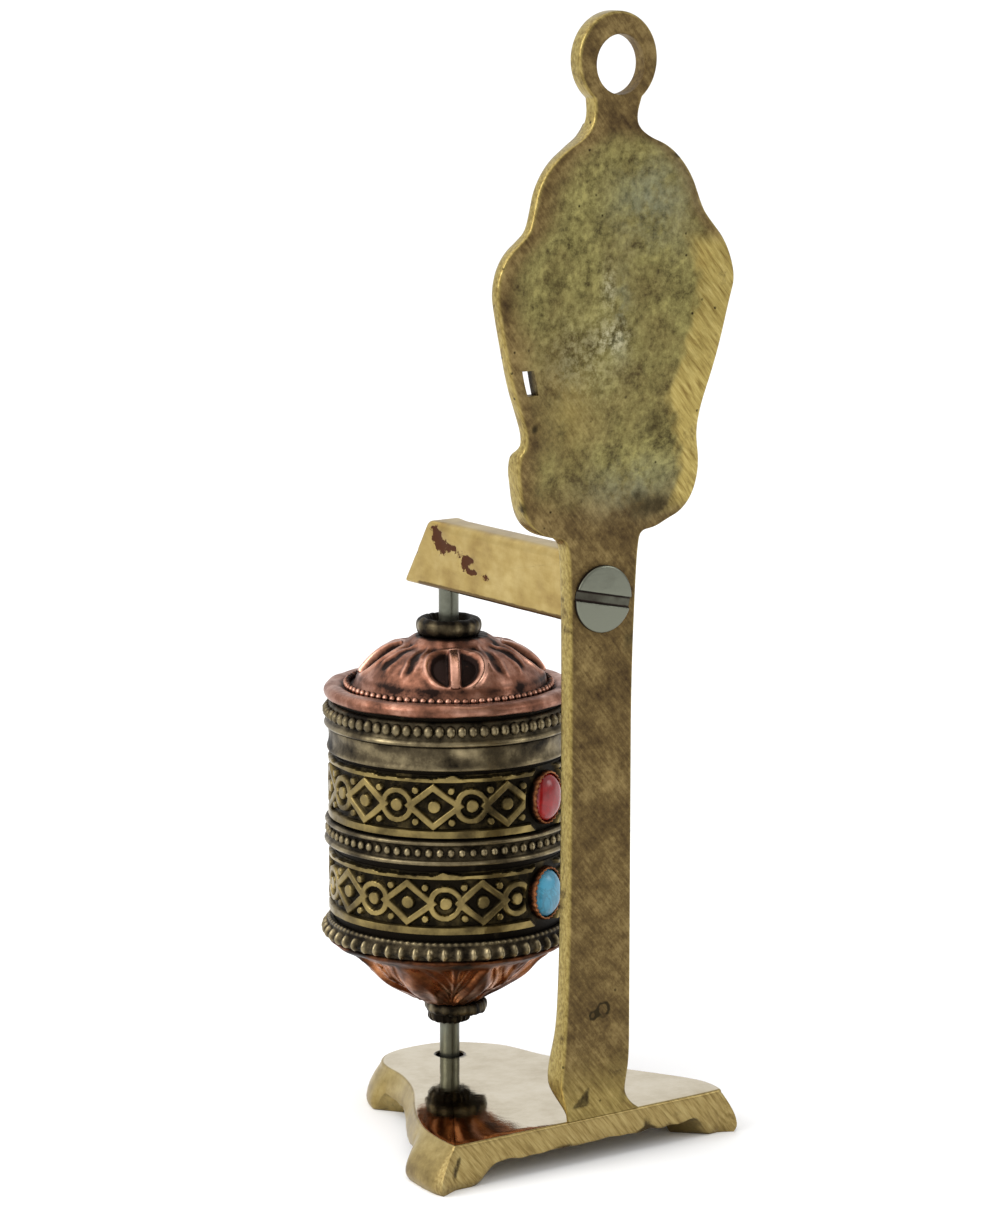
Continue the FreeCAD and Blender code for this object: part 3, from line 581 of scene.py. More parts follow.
# %% Outline of the upright
CLIMB = [
    # left x, left z, right x, right z, middle z
    (5.6, 6.6, -7.2, 6.6, 6.6), (5.8, 8.2, -5.7, 7.6, 8.0), (6.4, 10.2, -4.5, 9.4, 10.0),
    (6.8, 12.4, -4.8, 11.3, 12.0), (6.4, 16.0, -5.4, 14.5, 15.0), (6.0, 23.0, -5.4, 23.0, 23.0),
    (5.6, 33.0, -5.4, 33.0, 33.0), (5.4, 54.0, -5.4, 54.0, 54.0), (5.4, 70.0, -5.4, 70.0, 70.0),
    (5.5, 84.0, -6.0, 84.0, 84.0), (5.8, 89.4, -6.4, 89.6, 89.4), (6.6, 91.3, -6.8, 91.5, 91.2),
    (9.2, 91.8, -9.3, 91.7, 92.2), (11.2, 92.6, -11.4, 92.7, 93.2), (13.2, 94.4, -13.9, 93.7, 94.6),
    (14.3, 97.0, -15.7, 96.0, 97.0), (14.9, 99.6, -16.3, 99.0, 99.6), (15.5, 101.8, -16.0, 101.6, 101.7),
    (15.4, 104.0, -15.5, 103.2, 103.6), (14.6, 104.7, -15.1, 104.8, 104.8),
    (14.7, 106.7, -15.0, 106.8, 106.8), (16.1, 109.9, -15.4, 109.6, 110.0),
    (17.8, 113.9, -16.8, 114.0, 114.0), (19.0, 118.6, -18.1, 118.4, 118.6),
    (20.1, 124.0, -19.7, 124.2, 124.0), (20.5, 126.6, -20.5, 126.6, 126.6),
    (19.9, 129.6, -19.9, 129.5, 129.4), (18.4, 132.0, -18.5, 132.4, 132.2),
    (16.3, 133.6, -16.6, 134.5, 134.0), (14.9, 134.9, -15.0, 136.3, 135.7),
    (14.2, 137.5, -14.1, 138.2, 138.0), (13.5, 140.6, -12.9, 141.2, 140.9),
    (11.6, 143.5, -10.9, 143.9, 143.7), (8.8, 145.7, -8.4, 145.9, 146.2),
    (6.0, 147.1, -5.2, 147.1, 148.2), (4.5, 148.7, -3.3, 148.6, 150.0), (4.0, 150.4, -3.2, 150.4, 151.6),
    (4.2, 152.5, -3.9, 152.5, 153.0),
]
RING = (0.15, 157.8, 6.6)
EYE = (-0.3, 157.1, 4.1)
ROUND = 0.4


def upright_lines():
    """Left edge, right edge and the two sides of the middle line, as
    points (x, z) in rows from the foot to the top."""
    climb = spaced(soften(CLIMB, 2), 300)
    lean = EYE[0] * smooth(120.0, 150.0, climb[:, 4])
    middle = np.stack([lean, climb[:, 4]], axis=1)
    outer = np.radians(np.linspace(-53.3, 90.0, 66)[1:])
    inner = np.radians(np.linspace(-90.0, 90.0, 66)[1:])
    ring = np.stack([RING[2] * np.cos(outer), RING[1] + RING[2] * np.sin(outer)], axis=1)
    eye = np.stack([EYE[2] * np.cos(inner), EYE[1] + EYE[2] * np.sin(inner)], axis=1)
    across = np.array([1.0, 1.0])
    flip = np.array([-1.0, 1.0])
    left = np.vstack([climb[:, 0:2], ring * across + (RING[0], 0)])
    right = np.vstack([climb[:, 2:4], ring * flip + (RING[0], 0)])
    left_eye = np.vstack([middle, eye * across + (EYE[0], 0)])
    right_eye = np.vstack([middle, eye * flip + (EYE[0], 0)])
    return left, right, left_eye, right_eye, len(climb)


def lean_back(z):
    """How far the plaque stands behind the post: two equal bends, one back and one upright again."""
    t = np.clip((z - 87.2) / 32.8, 0, 1)
    return 3.6 * np.where(t < 0.5, 2 * t ** 2, 1 - 2 * (1 - t) ** 2)


def front_relief(x, z, rim):
    """Lotus seat, wheel with eight spokes, flames round it, a bud at
    the top and a raised border, in millimetres."""
    seat = smooth(92.4, 93.6, z) * smooth(104.4, 103.4, z)
    low_petal = 2 * ((x / 4.2) % 1) - 1
    high_petal = 2 * ((x / 4.2 + 0.5) % 1) - 1
    low_row = (smooth(0.0, 0.6, 5.0 * np.sqrt(1 - low_petal ** 2) - (98.4 - z))
               * smooth(0.0, 0.3, 1 - np.abs(low_petal)))
    high_row = (smooth(0.0, 0.6, 4.6 * np.sqrt(1 - high_petal ** 2) - (z - 98.8))
                * smooth(0.0, 0.3, 1 - np.abs(high_petal)))
    lotus = (seat * (0.35 + 0.8
                     * np.where(z < 98.6, low_row * smooth(98.5, 98.1, z),
                                high_row * smooth(98.7, 99.1, z))))
    far = np.hypot(x, z - 121.5)
    turn = np.arctan2(x, z - 121.5)
    wheel = smooth(0.5, 0.2, np.abs(far - 8.3) - 0.5) + smooth(2.3, 1.8, far)
    spoke = np.abs(np.sin(4 * turn)) * far / 4
    wheel = np.maximum(wheel, smooth(0.75, 0.45, spoke) * (far < 8.3) * (far > 1.5))
    beads = smooth(0.62, 0.35, np.hypot(far - 10.3, 10.3 * np.sin(18 * turn) / 18))
    flame = smooth(0.0, 0.8, 11.8 + 2.6 * np.abs(np.cos(8 * turn)) ** 1.4 - far) * (far > 11.6)
    bud = smooth(0.0, 0.8, 1.0 - np.abs(x) / 2.6 - np.abs(z - 139.8) / 4.4)
    border = smooth(0.5, 0.9, rim) * smooth(2.4, 1.9, rim) * (z > 105) * (z < 149)
    inside = smooth(1.8, 2.8, rim)
    return np.maximum(1.0 * border, inside * (lotus + 1.3 * wheel + 0.9 * beads + 0.9 * flame + 1.4 * bud))


print("outline rows:", len(CLIMB), "ring radius", RING[2], "hole radius", EYE[2])

# %% [markdown]
# ## The upright's two faces
# Each half of the casting is a sheet between an edge and the middle line, in rows from the foot up.
# Its columns crowd at the edge, so the rounded rim is smooth and the flat middle stays light.
# Stains and filed places are soft spots stored on the points, and the finish reads them.

# %% Upright


def half_sheet(edge, eye, open_from):
    """Points (x, z) between an edge and the middle line, their distance
    from the edge and from the hole, rows by columns."""
    length = np.linalg.norm(eye - edge, axis=1)[:, None]
    near = np.array([0.0, 0.06, 0.15, 0.27, 0.4])[None, :]
    inner = np.linspace(0, 1, 44)[None, 1:-1]
    body = near[0, -1] + inner * (length - 2 * near[0, -1])
    run = np.concatenate([np.broadcast_to(near, (len(edge), 5)), body, length - near[:, ::-1]], axis=1)
    share = (run / length)[..., None]
    places = edge[:, None, :] * (1 - share) + eye[:, None, :] * share
    hole = np.where(np.arange(len(edge))[:, None] >= open_from, length - run, 9.0)
    return places, run, hole


def rounded(distance):
    """How far a quarter-round edge falls back at a distance from the rim."""
    t = np.clip(1 - distance / ROUND, 0, 1)
    return ROUND * (1 - np.sqrt(1 - t ** 2))


def upright():
    """Back and front of the casting on one grid, joined round the
    edges, the ring's hole and a small slot."""
    left, right, left_eye, right_eye, opening = upright_lines()
    points, faces, marks = [], [], {"field": [], "cool": [], "bloom": [], "filed": [], "grime_and_shade": []}
    relief = []
    start = 0
    for side, edge, eye in ((1, left, left_eye), (-1, right, right_eye)):
        places, run, hole = half_sheet(edge, eye, opening - 1)
        rows, columns = run.shape
        x, z = places[..., 0], places[..., 1]
        rim = np.minimum(run, hole)
        on_plaque = smooth(94, 100, z) * smooth(149, 145, z)
        dish = 0.5 * smooth(1.5, 8.0, run) * on_plaque
        uneven = 0.1 * ripple(0.4 * x, 0.4 * z) * smooth(0.4, 2.0, rim)
        back = REAR + lean_back(z) - dish + uneven * (0.3 + on_plaque) - rounded(rim)
        thick = 2.6 + 0.3 * smooth(91, 93, z) - 1.1 * smooth(103.5, 105.5, z) + 0.75 * smooth(145, 149, z)
        thick += smooth(1.5, 5.0, x) * (1.3 * np.exp(-((z - 13.5) / 5) ** 2) - 2.4 * smooth(12.0, 6.8, z))
        stand_out = front_relief(x, z, rim)
        front = REAR + lean_back(z) - thick - stand_out + rounded(rim)
        slot_rows = np.flatnonzero((z[:-1, 8] > 112.2) & (z[1:, 8] < 116.2))
        slot_columns = np.arange(8, 13)
        cut = np.zeros((rows - 1, columns - 1), bool)
        if side == 1:
            cut[np.ix_(slot_rows, slot_columns)] = True
        grid = quads(rows, columns).reshape(rows - 1, columns - 1, 4)
        back_start, front_start = start, start + rows * columns
        keep = ~cut
        faces += [(grid[keep] + back_start), (grid[keep] + front_start)]
        line = np.arange(rows) * columns
        walls = [line]
        hole_line = line[opening - 1:] + columns - 1
        walls.append(hole_line)
        for wall in walls:
            faces.append(np.stack([wall[:-1], wall[1:], wall[1:] + rows * columns,
                                   wall[:-1] + rows * columns], axis=1) + start)
        foot = np.arange(columns)
        faces.append(np.stack([foot[:-1], foot[1:], foot[1:] + rows * columns, foot[:-1] + rows * columns],
                              axis=1) + start)
        if side == 1:
            r0, r1, c0, c1 = slot_rows[0], slot_rows[-1] + 1, slot_columns[0], slot_columns[-1] + 1
            loop = [r0 * columns + c for c in range(c0, c1)] + [r * columns + c1 for r in range(r0, r1)]
            loop += ([r1 * columns + c for c in range(c1, c0, -1)]
                     + [r * columns + c0 for r in range(r1, r0, -1)])
            loop = np.array(loop) + start
            after = np.roll(loop, -1)
            faces.append(np.stack([loop, after, after + rows * columns, loop + rows * columns], axis=1))
        points += [np.stack([x, back, z], axis=-1).reshape(-1, 3),
                   np.stack([x, front, z], axis=-1).reshape(-1, 3)]
        start += 2 * rows * columns
        high = smooth(0.1, 1.0, stand_out)
        border = 3.4 + 2.6 * smooth(103, 112, z) + 0.9 * ripple(0.9 * x, 0.9 * z)
        filed = (smooth(border + 0.9, border - 0.9, run) * smooth(93, 96, z) * smooth(134, 131, z)
                 * (side == -1))
        filed = np.maximum(filed, 0.35 * spot(x, z, 7.5, 109, 4, 5))
        filed = np.maximum(filed, 0.55 * smooth(18.0, 8.0, z))
        edge_light = smooth(0.5, 0.1, run)
        field = (on_plaque * smooth(0.6, 3.5 if side == -1 else 6.5, run)
                 * (1 - 0.6 * spot(x, z, 9, 112, 5, 9)))
        cool = (spot(x, z, -0.6, 122.5, 2.0, 5.0) + 0.8 * spot(x, z, -6, 138, 6, 6)
                + 0.6 * spot(x, z, -5, 98, 8, 4))
        bloom = (spot(x, z, 0.6, 119.4, 2.2, 1.8) + 0.6 * spot(x, z, 1.4, 126.0, 1.0, 3.0)
                 + 0.25 * spot(x, z, 5, 117, 6, 5))
        grime_and_shade = (0.55 * spot(x, z, -8, 106.5, 6, 5.5) + 0.6 * spot(x, z, -9, 95, 6, 2.6)
                 + 0.4 * spot(x, z, 11, 129.5, 4, 6) + 0.4 * spot(x, z, 11, 118, 4, 8))
        grime_and_shade += (0.8 * spot(x, z, -10.5, 144.6, 2, 1.0) + 0.6 * spot(x, z, -6.3, 155, 1.2, 4)
                  + 0.7 * spot(x, z, 13.5, 107.6, 0.9, 1.2))
        grime_and_shade += (0.7 * spot(x, z, 14.2, 96, 1.5, 2) + 0.45 * spot(x, z, -4.5, 80, 2.5, 18)
                  + 0.3 * spot(x, z, 10, 140, 3, 5))
        for at_x, at_z, radius in ((-0.5, 22.4, 1.0), (1.3, 21.8, 0.55)):
            grime_and_shade += 0.9 * np.exp(-((np.hypot(x - at_x, z - at_z) - radius) / 0.4) ** 2)
        wedge = (smooth(0.0, 1.0, (x - 1.2) * 0.8) * smooth(0.0, 1.2, 12.8 - 0.95 * (x - 1.4) - z)
                 * smooth(7.6, 8.6, z))
        grime_and_shade += 0.6 * wedge + 0.5 * spot(x, z, -4, 9, 1.5, 2)
        for label, rear_mark, front_mark in (
            ("field", field, 0.2 * high), ("cool", cool, 0 * x), ("bloom", bloom, 0 * x),
            ("filed", np.maximum(filed, 0.7 * edge_light), np.maximum(0.9 * high, edge_light)),
            ("grime_and_shade", grime_and_shade, 0.75 * (1 - high) * on_plaque * smooth(1.0, 3.0, rim)),
        ):
            marks[label] += [rear_mark.ravel(), front_mark.ravel()]
        relief += [np.full(rows * columns, 0.6), high.ravel()]
    marks = {label: np.clip(np.concatenate(values), 0, 1.2) for label, values in marks.items()}
    return make_piece("upright_casting", np.vstack(points), np.vstack(faces), aged_brass, "stand",
                      ["upright"], np.concatenate(relief), marks, 38)


post = upright()

# %% [markdown]
# ## The arm and its screw
# The arm is a flat bar whose free end is cut at a slant; its lower corner is rubbed round.
# A bar can be a ring of points round its side view, carried across its width and drawn in at both faces.
# The screw through the upright's back is a grid in circles, sunk along a line to make its slot.

# %% Arm
arm_low, arm_high = span("arm")
ARM_SIDE = [(arm_low[1] - AXLE_Y, arm_low[2]), (REAR - 2.6, arm_low[2]), (REAR - 2.6, arm_high[2]),
            (arm_low[1] - AXLE_Y + 6.4, arm_high[2])]


def arm_bar():
    """The side view's outline with cut corners, drawn in towards its
    middle on both faces and rounded at the edges."""
    corners = np.array(ARM_SIDE)
    dense = spaced(corners, 60, closed=True)
    edge = spaced(soften(dense, 2, closed=True), 300, closed=True)
    normal = outward(edge)
    middle = edge.mean(axis=0)
    half = (arm_high[0] - arm_low[0]) / 2
    crown = (0.5 + 0.8 * smooth(arm_high[2] - 2.5, arm_high[2] - 1.0, edge[:, 1])
             * smooth(-1.0, 3.0, edge[:, 0]))
    crown = crown[:, None]
    rows = [(middle + (edge - crown * normal - middle) * t, half + 0 * crown) for t in np.linspace(0, 1, 40)]
    for turn in np.radians([20, 40, 60, 75, 90]):
        rows.append((edge - crown * (1 - math.sin(turn)) * normal, half - crown * (1 - math.cos(turn))))
    both = rows + [(side, -x) for side, x in reversed(rows)]
    points = np.stack([np.column_stack([x, side]) for side, x in both]).reshape(-1, 3)
    x, y, z = points.T
    pitted = (spot(y, z, 0.3, 87.0, 1.3, 1.3) + spot(y, z, 1.3, 85.6, 1.2, 1.4)
              + spot(y, z, 3.6, 85.0, 2.9, 1.0))
    pitted += (spot(y, z, 9.0, 84.0, 1.8, 0.8) + spot(y, z, 8.0, 83.0, 1.1, 0.9)
               + spot(y, z, 9.8, 82.2, 2.1, 0.5))
    pitted += spot(y, z, 13.4, 82.0, 1.0, 0.6) + 0.9 * spot(y, z, -4.9, 83.4, 0.7, 0.6)
    pitted *= smooth(1.2, 2.0, x)
    # Painted shade: a dark line along the arm's lower edge, and a darker patch low on the arm where it meets
    # the upright.
    grime_and_shade = smooth(arm_low[2] + 1.1, arm_low[2] + 0.4, z) * 1.1 * smooth(-6.0, -3.0, y)
    grime_and_shade = grime_and_shade + 0.8 * smooth(REAR - 3.3, REAR - 2.8, y) * smooth(arm_low[2] + 4.0, arm_low[2] + 2.0, z)
    points[:, 0] += 0.05 * ripple(0.4 * y, 0.4 * z) * np.sign(x) - 0.12 * pitted
    return make_piece("arm_bar", points, quads(len(both), len(edge), closed=True), bright_brass, "stand",
                      ["arm"], 0.7, {"pitted": pitted, "grime_and_shade": np.clip(grime_and_shade, 0, 1)}, 34)


def screw():
    """A grid in circles: a low dome, sunk where a point is near the
    slot's line, then the head's side and the shank."""
    low, high = span("arm_screw")
    centre_z = (low[2] + high[2]) / 2
    head = (high[2] - low[2]) / 2
    face = high[1] - AXLE_Y
    radii = np.concatenate([np.linspace(0, head - 0.25, 44),
                            [head - 0.12, head - 0.03, head, head, head - 0.1, 1.9, 1.9, 0.0]])
    depth = np.concatenate([np.zeros(44), [0.04, 0.12, 0.25, 0.78, 0.8, 0.8, 13.8, 14.0]])
    a = np.linspace(0, 2 * np.pi, 240, endpoint=False)
    u = radii[:, None] * np.cos(a)
    v = radii[:, None] * np.sin(a)
    tilt = math.radians(-12)
    off = np.abs(v * math.cos(tilt) + u * math.sin(tilt))
    slot = smooth(0.85, 0.62, off) * (np.arange(len(radii)) < 48)[:, None]
    sink = (np.maximum(depth[:, None], 0.5 * slot)
            + 0.2 * (radii[:, None] / head) ** 2 * (depth[:, None] < 0.5))
    y = face - sink
    points = np.stack([u, y, centre_z + v], axis=-1).reshape(-1, 3)
    # Painted shade: the head's side wall is darkened. The slot and the lips along it are darker too.
    side = smooth(0.1, 0.3, depth)[:, None] * np.ones_like(u)
    slot_rim = smooth(0.9, 0.7, off) * smooth(0.45, 0.62, off) * (np.arange(len(radii)) < 48)[:, None]
    patch = 0.5 + 0.5 * ripple(0.8 * u, 0.5 * v)
    relief = np.clip(0.8 - slot * (0.3 + 0.25 * patch) - 0.5 * slot_rim - 0.75 * side, 0, 1)
    return make_piece("arm_screw_head", points, quads(len(radii), len(a), closed=True), steel, "stand",
                      ["arm_screw"], relief.ravel(), None, 40)


arm = arm_bar()
head = screw()
print("arm from z", round(float(arm_low[2]), 2), "to", round(float(arm_high[2]), 2))

# %% [markdown]
# ## The axle
# A plain steel rod stands in the foot plate and runs up into the arm, and the drum is fixed to it.
# It is turned from a straight profile, with painted shade where it meets the collars and the foot plate.

# %% Axle


def axle_rod():
    """A straight rod with closed ends; painted shade darkens it near the collars and near the foot plate."""
    z = np.linspace(axle_low[2], axle_high[2], 160)
    collar_low, collar_high = span("bottom_collar")[0][2], span("top_collar")[1][2]
    profile = [(0.0, z[0]), *[(AXLE_RADIUS, h) for h in z], (0.0, z[-1])]
    # Painted shade: darkest where the rod meets the collars and the foot plate, fading within about half a
    # millimetre.
    near = np.minimum(np.minimum(np.abs(z - collar_low), np.abs(z - collar_high)), np.abs(z - BASE_TOP))
    shade = np.concatenate([[0.5], 0.72 - 0.4 * np.exp(-near / 0.5), [0.5]])
    points, faces = turned(profile, 64)
    return make_piece("axle_rod", points, faces, steel, "drum", ["axle"], np.repeat(shade, 64),
                      None, 40)


rod = axle_rod()

# %% [markdown]
# ## The copper caps
# The dome is pressed copper: a rolled brim, a ring of fine beads,
# then leaves and oval windows up to the collar.
# Relief is a height added along the surface, as a function of the
# angle and of how far up the dome a point lies.
# The bowl below is made the same way, with pointed leaves.

# %% Top cap
FACING = math.radians(58.0)
cap_low, cap_high = span("top_cap")


def top_cap():
    """The dome's profile turned about the axle, with ovals, ribs
    and leaves raised or sunk along its normal."""
    brim, top = cap_low[2], cap_high[2]
    outer = cap_high[0]
    skin = soften([(outer - 1.4, brim), (outer - 0.3, brim), (outer, brim + 0.5),
                   (outer - 0.05, brim + 1.2), (outer - 0.7, brim + 1.85), (outer - 2.3, brim + 1.8),
                   (15.9, brim + 1.4), (14.7, brim + 1.5), (14.3, brim + 2.1), (14.0, brim + 3.2),
                   (12.9, brim + 4.8), (11.6, brim + 6.1), (10.0, brim + 7.2), (8.6, brim + 7.7),
                   (7.4, brim + 7.8), (6.3, brim + 8.5), (5.3, top), (4.6, top)], 2)
    skin = spaced(skin, 150)
    inside = np.array([(CAP_BORE, top), (CAP_BORE, top - 0.7), (4.6, top - 0.8), (9.0, top - 2.6),
                       (12.8, brim + 3.0), (13.6, brim + 1.2), (SEAT, brim + 1.2), (SEAT, brim)])
    profile = np.vstack([skin, inside, skin[:1]])
    steps = 512
    a = np.linspace(0, 2 * np.pi, steps, endpoint=False)
    r, z = profile[:, :1], profile[:, 1:]
    climb = np.clip((14.2 - r), 0, 10) * 0.6 + np.clip(z - brim - 1.9, 0, 10) * 0.75
    ovals = 4
    local = (a - FACING + np.pi / ovals) % (2 * np.pi / ovals) - np.pi / ovals
    u = local[None, :] * np.maximum(r, 3.0)
    on_skin = ((np.arange(len(profile)) < len(skin))[:, None] * smooth(1.0, 1.8, climb)
               * smooth(9.6, 8.8, climb))
    oval = np.hypot(u / 4.1, (climb - 5.0) / 3.6)
    rib = smooth(1.0, 0.55, np.abs(u)) * (oval < 1.0)
    window = smooth(1.0, 0.8, oval) * smooth(0.75, 1.25, np.abs(u))
    frame_ring = np.exp(-((oval - 1.1) / 0.11) ** 2)
    from_seam = np.pi / ovals * np.maximum(r, 3.0) - np.abs(u)
    between = (smooth(1.15, 1.35, oval) * smooth(3.2, 4.6, climb + 0.8 * np.cos(9 * local))
               * smooth(0.2, 1.6, from_seam))
    feather = (np.sin(2.7 * np.abs(u) + 1.1 * climb + 0.7 * ripple(0.6 * u, climb)) * 0.5 + 0.5) ** 1.5
    leaf = between * feather
    lift = 0.5 * rib - 0.75 * window + 0.3 * frame_ring + 0.4 * leaf - 0.2 * between
    wobble = 0.12 * ripple(6 * np.cos(a), 6 * np.sin(a) + 0.5 * climb)
    swell = on_skin * (lift - 0.15) + wobble * (np.arange(len(profile)) < len(skin))[:, None]
    patch = 0.2 * ripple(6 * np.cos(a), 6 * np.sin(a) + 0.6 * climb, 1.7) - 0.12 * smooth(4.0, 8.0, climb)
    relief = (0.5 + patch + on_skin
              * (0.3 * rib - 0.6 * window + 0.25 * frame_ring + between * (0.6 * feather - 0.42)))
    relief = relief - 0.8 * np.exp(-((r - 15.3) / 0.7) ** 2) * (z < brim + 2.6) - 0.45 * smooth(5.8, 5.0, r)
    relief = relief - 0.25 * np.exp(-((climb - 0.9) / 0.5) ** 2) * (r > 12)
    sway = 0.45 * smooth(15.8, 13.5, profile[:, 0])[:, None] * np.array([-0.82, 0.57])
    points, faces = turned(profile, steps, swell, sway)
    return make_piece("copper_dome", points, faces, antique_copper, "drum", ["top_cap"],
                      np.clip(relief, 0, 1).ravel(), None, 45)


dome = top_cap()

# %% [markdown]
# ## Beads
# A row of small drops runs round the dome's foot, and others run round two rings of the drum.
# One egg shape is worked out once, and whole arrays copy it round the axle.

# %% Beads


def beads(name, count, radius, height, size, finish, slot, shift=0.0, tops=0.95, seats=0.15):
    """One small egg shape, 8 by 5 points, copied round the axle: out by
    its radius, along by its width, up by its height."""
    out, along, up = size
    lat = np.linspace(-np.pi / 2, np.pi / 2, 6)[:, None]
    lon = np.linspace(0, 2 * np.pi, 8, endpoint=False)[None, :]
    egg = np.stack([np.cos(lat) * np.cos(lon) * out, np.cos(lat) * np.sin(lon) * along,
                    np.broadcast_to(np.sin(lat) * up, (6, 8))], axis=-1).reshape(-1, 3)
    a = np.linspace(0, 2 * np.pi, count, endpoint=False)[:, None] + shift
    grow = 1 + 0.1 * ripple(9 * np.cos(a), 9 * np.sin(a), 2.0)
    reach = radius + egg[None, :, 0] * grow
    side = egg[None, :, 1] * grow
    x = reach * np.cos(a) - side * np.sin(a)
    y = reach * np.sin(a) + side * np.cos(a)
    z = height + egg[None, :, 2] * grow
    points = np.stack([x, y, np.broadcast_to(z, x.shape)], axis=-1).reshape(-1, 3)
    single = quads(6, 8, closed=True)
    faces = (single[None] + (np.arange(count) * 48)[:, None, None]).reshape(-1, 4)
    shade = np.tile(seats + (tops - seats) * smooth(0.0, 0.9 * out, egg[:, 0]), count)
    return make_piece(name, points, faces, finish, "drum", (), shade, None, 60)


brim_beads = beads("dome_beads", 78, 15.25, cap_low[2] + 1.8, (0.56, 0.56, 0.56), antique_copper,
                   "antique_copper", tops=0.8)

# %% [markdown]
# ## The bowl
# The bowl closes the drum below and narrows to the lower collar, with pointed leaves pressed into it.
# It is turned from a profile as the dome is, and its leaves are a height made by two crossing waves.

# %% Bowl


def bottom_bowl():
    """The bowl's profile turned about the axle; pointed leaves swell where two crossing waves meet."""
    low, high = span("bottom_cap")
    rim = high[0]
    skin = soften([(16.4, high[2]), (rim - 0.2, high[2]), (rim, high[2] - 0.5), (17.2, high[2] - 1.2),
                   (15.4, high[2] - 2.0), (14.3, high[2] - 2.8), (13.3, high[2] - 3.9),
                   (12.0, high[2] - 5.3), (10.2, high[2] - 6.7), (8.0, high[2] - 8.0),
                   (6.2, high[2] - 9.0), (5.2, low[2] + 0.5), (4.7, low[2])], 2)
    skin = spaced(skin, 96)
    inside = np.array([(CAP_BORE, low[2]), (CAP_BORE, low[2] + 0.8), (4.6, low[2] + 0.9),
                       (9.4, high[2] - 5.9), (12.2, high[2] - 2.4), (16.4, high[2] - 0.8)])
    profile = np.vstack([skin, inside, skin[:1]])
    steps = 480
    a = np.linspace(0, 2 * np.pi, steps, endpoint=False)
    z = profile[:, 1:]
    deep = high[2] - z
    on_skin = ((np.arange(len(profile)) < len(skin))[:, None] * smooth(1.4, 2.6, deep)
               * smooth(low[2], low[2] + 1.2, z))
    leaves = 9
    warped = a - FACING + 0.12 * np.sin(2 * a + 0.7) + 0.08 * np.sin(5 * a)
    local = (warped + np.pi / leaves) % (2 * np.pi / leaves) - np.pi / leaves
    wide = np.abs(local)[None, :] * leaves / np.pi
    leaf = smooth(0.0, 0.35, 1.0 - wide ** 1.5 - 0.09 * np.maximum(deep - 2.0, 0))
    vein = smooth(0.12, 0.04, wide) + 0.5 * (np.sin(22 * wide + 2.4 * deep) > 0.3)
    lift = 0.6 * leaf - 0.2 * vein * leaf
    swell = on_skin * (lift - 0.4) + 0.2 * ripple(8 * np.cos(a), 8 * np.sin(a) + 0.6 * deep)
    swell = swell * (np.arange(len(profile)) < len(skin))[:, None]
    patch = 0.28 * ripple(7 * np.cos(a), 7 * np.sin(a) + 0.7 * deep, 0.9)
    relief = 0.42 + patch + on_skin * (0.3 * leaf - 0.2 * vein * leaf) - 0.12 * smooth(2.4, 1.4, deep)
    points, faces = turned(profile, steps, swell)
    return make_piece("copper_bowl", points, faces, dark_copper, "drum", ["bottom_cap"],
                      np.clip(relief, 0, 1).ravel(), None, 45)


bowl = bottom_bowl()

# %% [markdown]
# ## Rings round the drum
# Brass rings divide the drum: beads at the top and in the middle,
# flutes at the bottom, and a plain band between.
# Each ring is a closed profile turned about the axle, and its beads are copies of one small egg.

# %% Bead rings, flutes and neck band


def ring_piece(name, node, shape, finish, steps=360, swell=None, shade=None):
    """A closed profile of (radius, height above the ring's foot),
    with cut corners, turned about the axle."""
    foot = span(node)[0][2]
    profile = np.array(shape, float) + (0, foot)
    profile = spaced(soften(profile, 2, closed=True), 72, closed=True)
    profile = np.vstack([profile, profile[:1]])
    a = np.linspace(0, 2 * np.pi, steps, endpoint=False)
    push = None if swell is None else swell(a[None, :], profile[:, :1], profile[:, 1:] - foot)
    tone = 0.5 + 0 * profile[:, :1] * a if shade is None else shade(a[None, :], profile[:, :1],
                                                                    profile[:, 1:] - foot)
    points, faces = turned(profile, steps, push)
    return make_piece(name, points, faces, finish, "drum", [node], np.clip(tone, 0, 1).ravel(), None,
                      40)


def wear(a, r, z):
    """Rubbed on the outermost ridges, dirty in between."""
    return 0.24 + 0.42 * smooth(18.0, 18.7, r) + 0.2 * ripple(7 * np.cos(a), 7 * np.sin(a), 1.0)


def flutes(a, r, z):
    """Fifty-four upright ribs on the ring's outer face: a cosine
    raised to a power, so that the ribs are narrow."""
    rib = (0.5 + 0.5 * np.cos(54 * a)) ** 2
    dash = 0.5 + 0.5 * np.cos(110 * a)
    return (0.55 * (rib - 0.9) * smooth(18.2, 18.7, r) * smooth(2.3, 2.0, z)
            + 0.12 * dash * smooth(2.3, 2.5, z) * (r > 17.9))


def flute_wear(a, r, z):
    """Bright on the ribs, dark between them, and a dashed bright line along the upper rim."""
    rib = (0.5 + 0.5 * np.cos(54 * a)) ** 2.5
    face = smooth(18.3, 18.8, r) * smooth(2.2, 1.9, z)
    rim = smooth(2.2, 2.45, z) * smooth(17.8, 18.1, r)
    return 0.22 + 0.7 * rib * face + rim * (0.15 + 0.3 * (0.5 + 0.5 * np.cos(110 * a)))


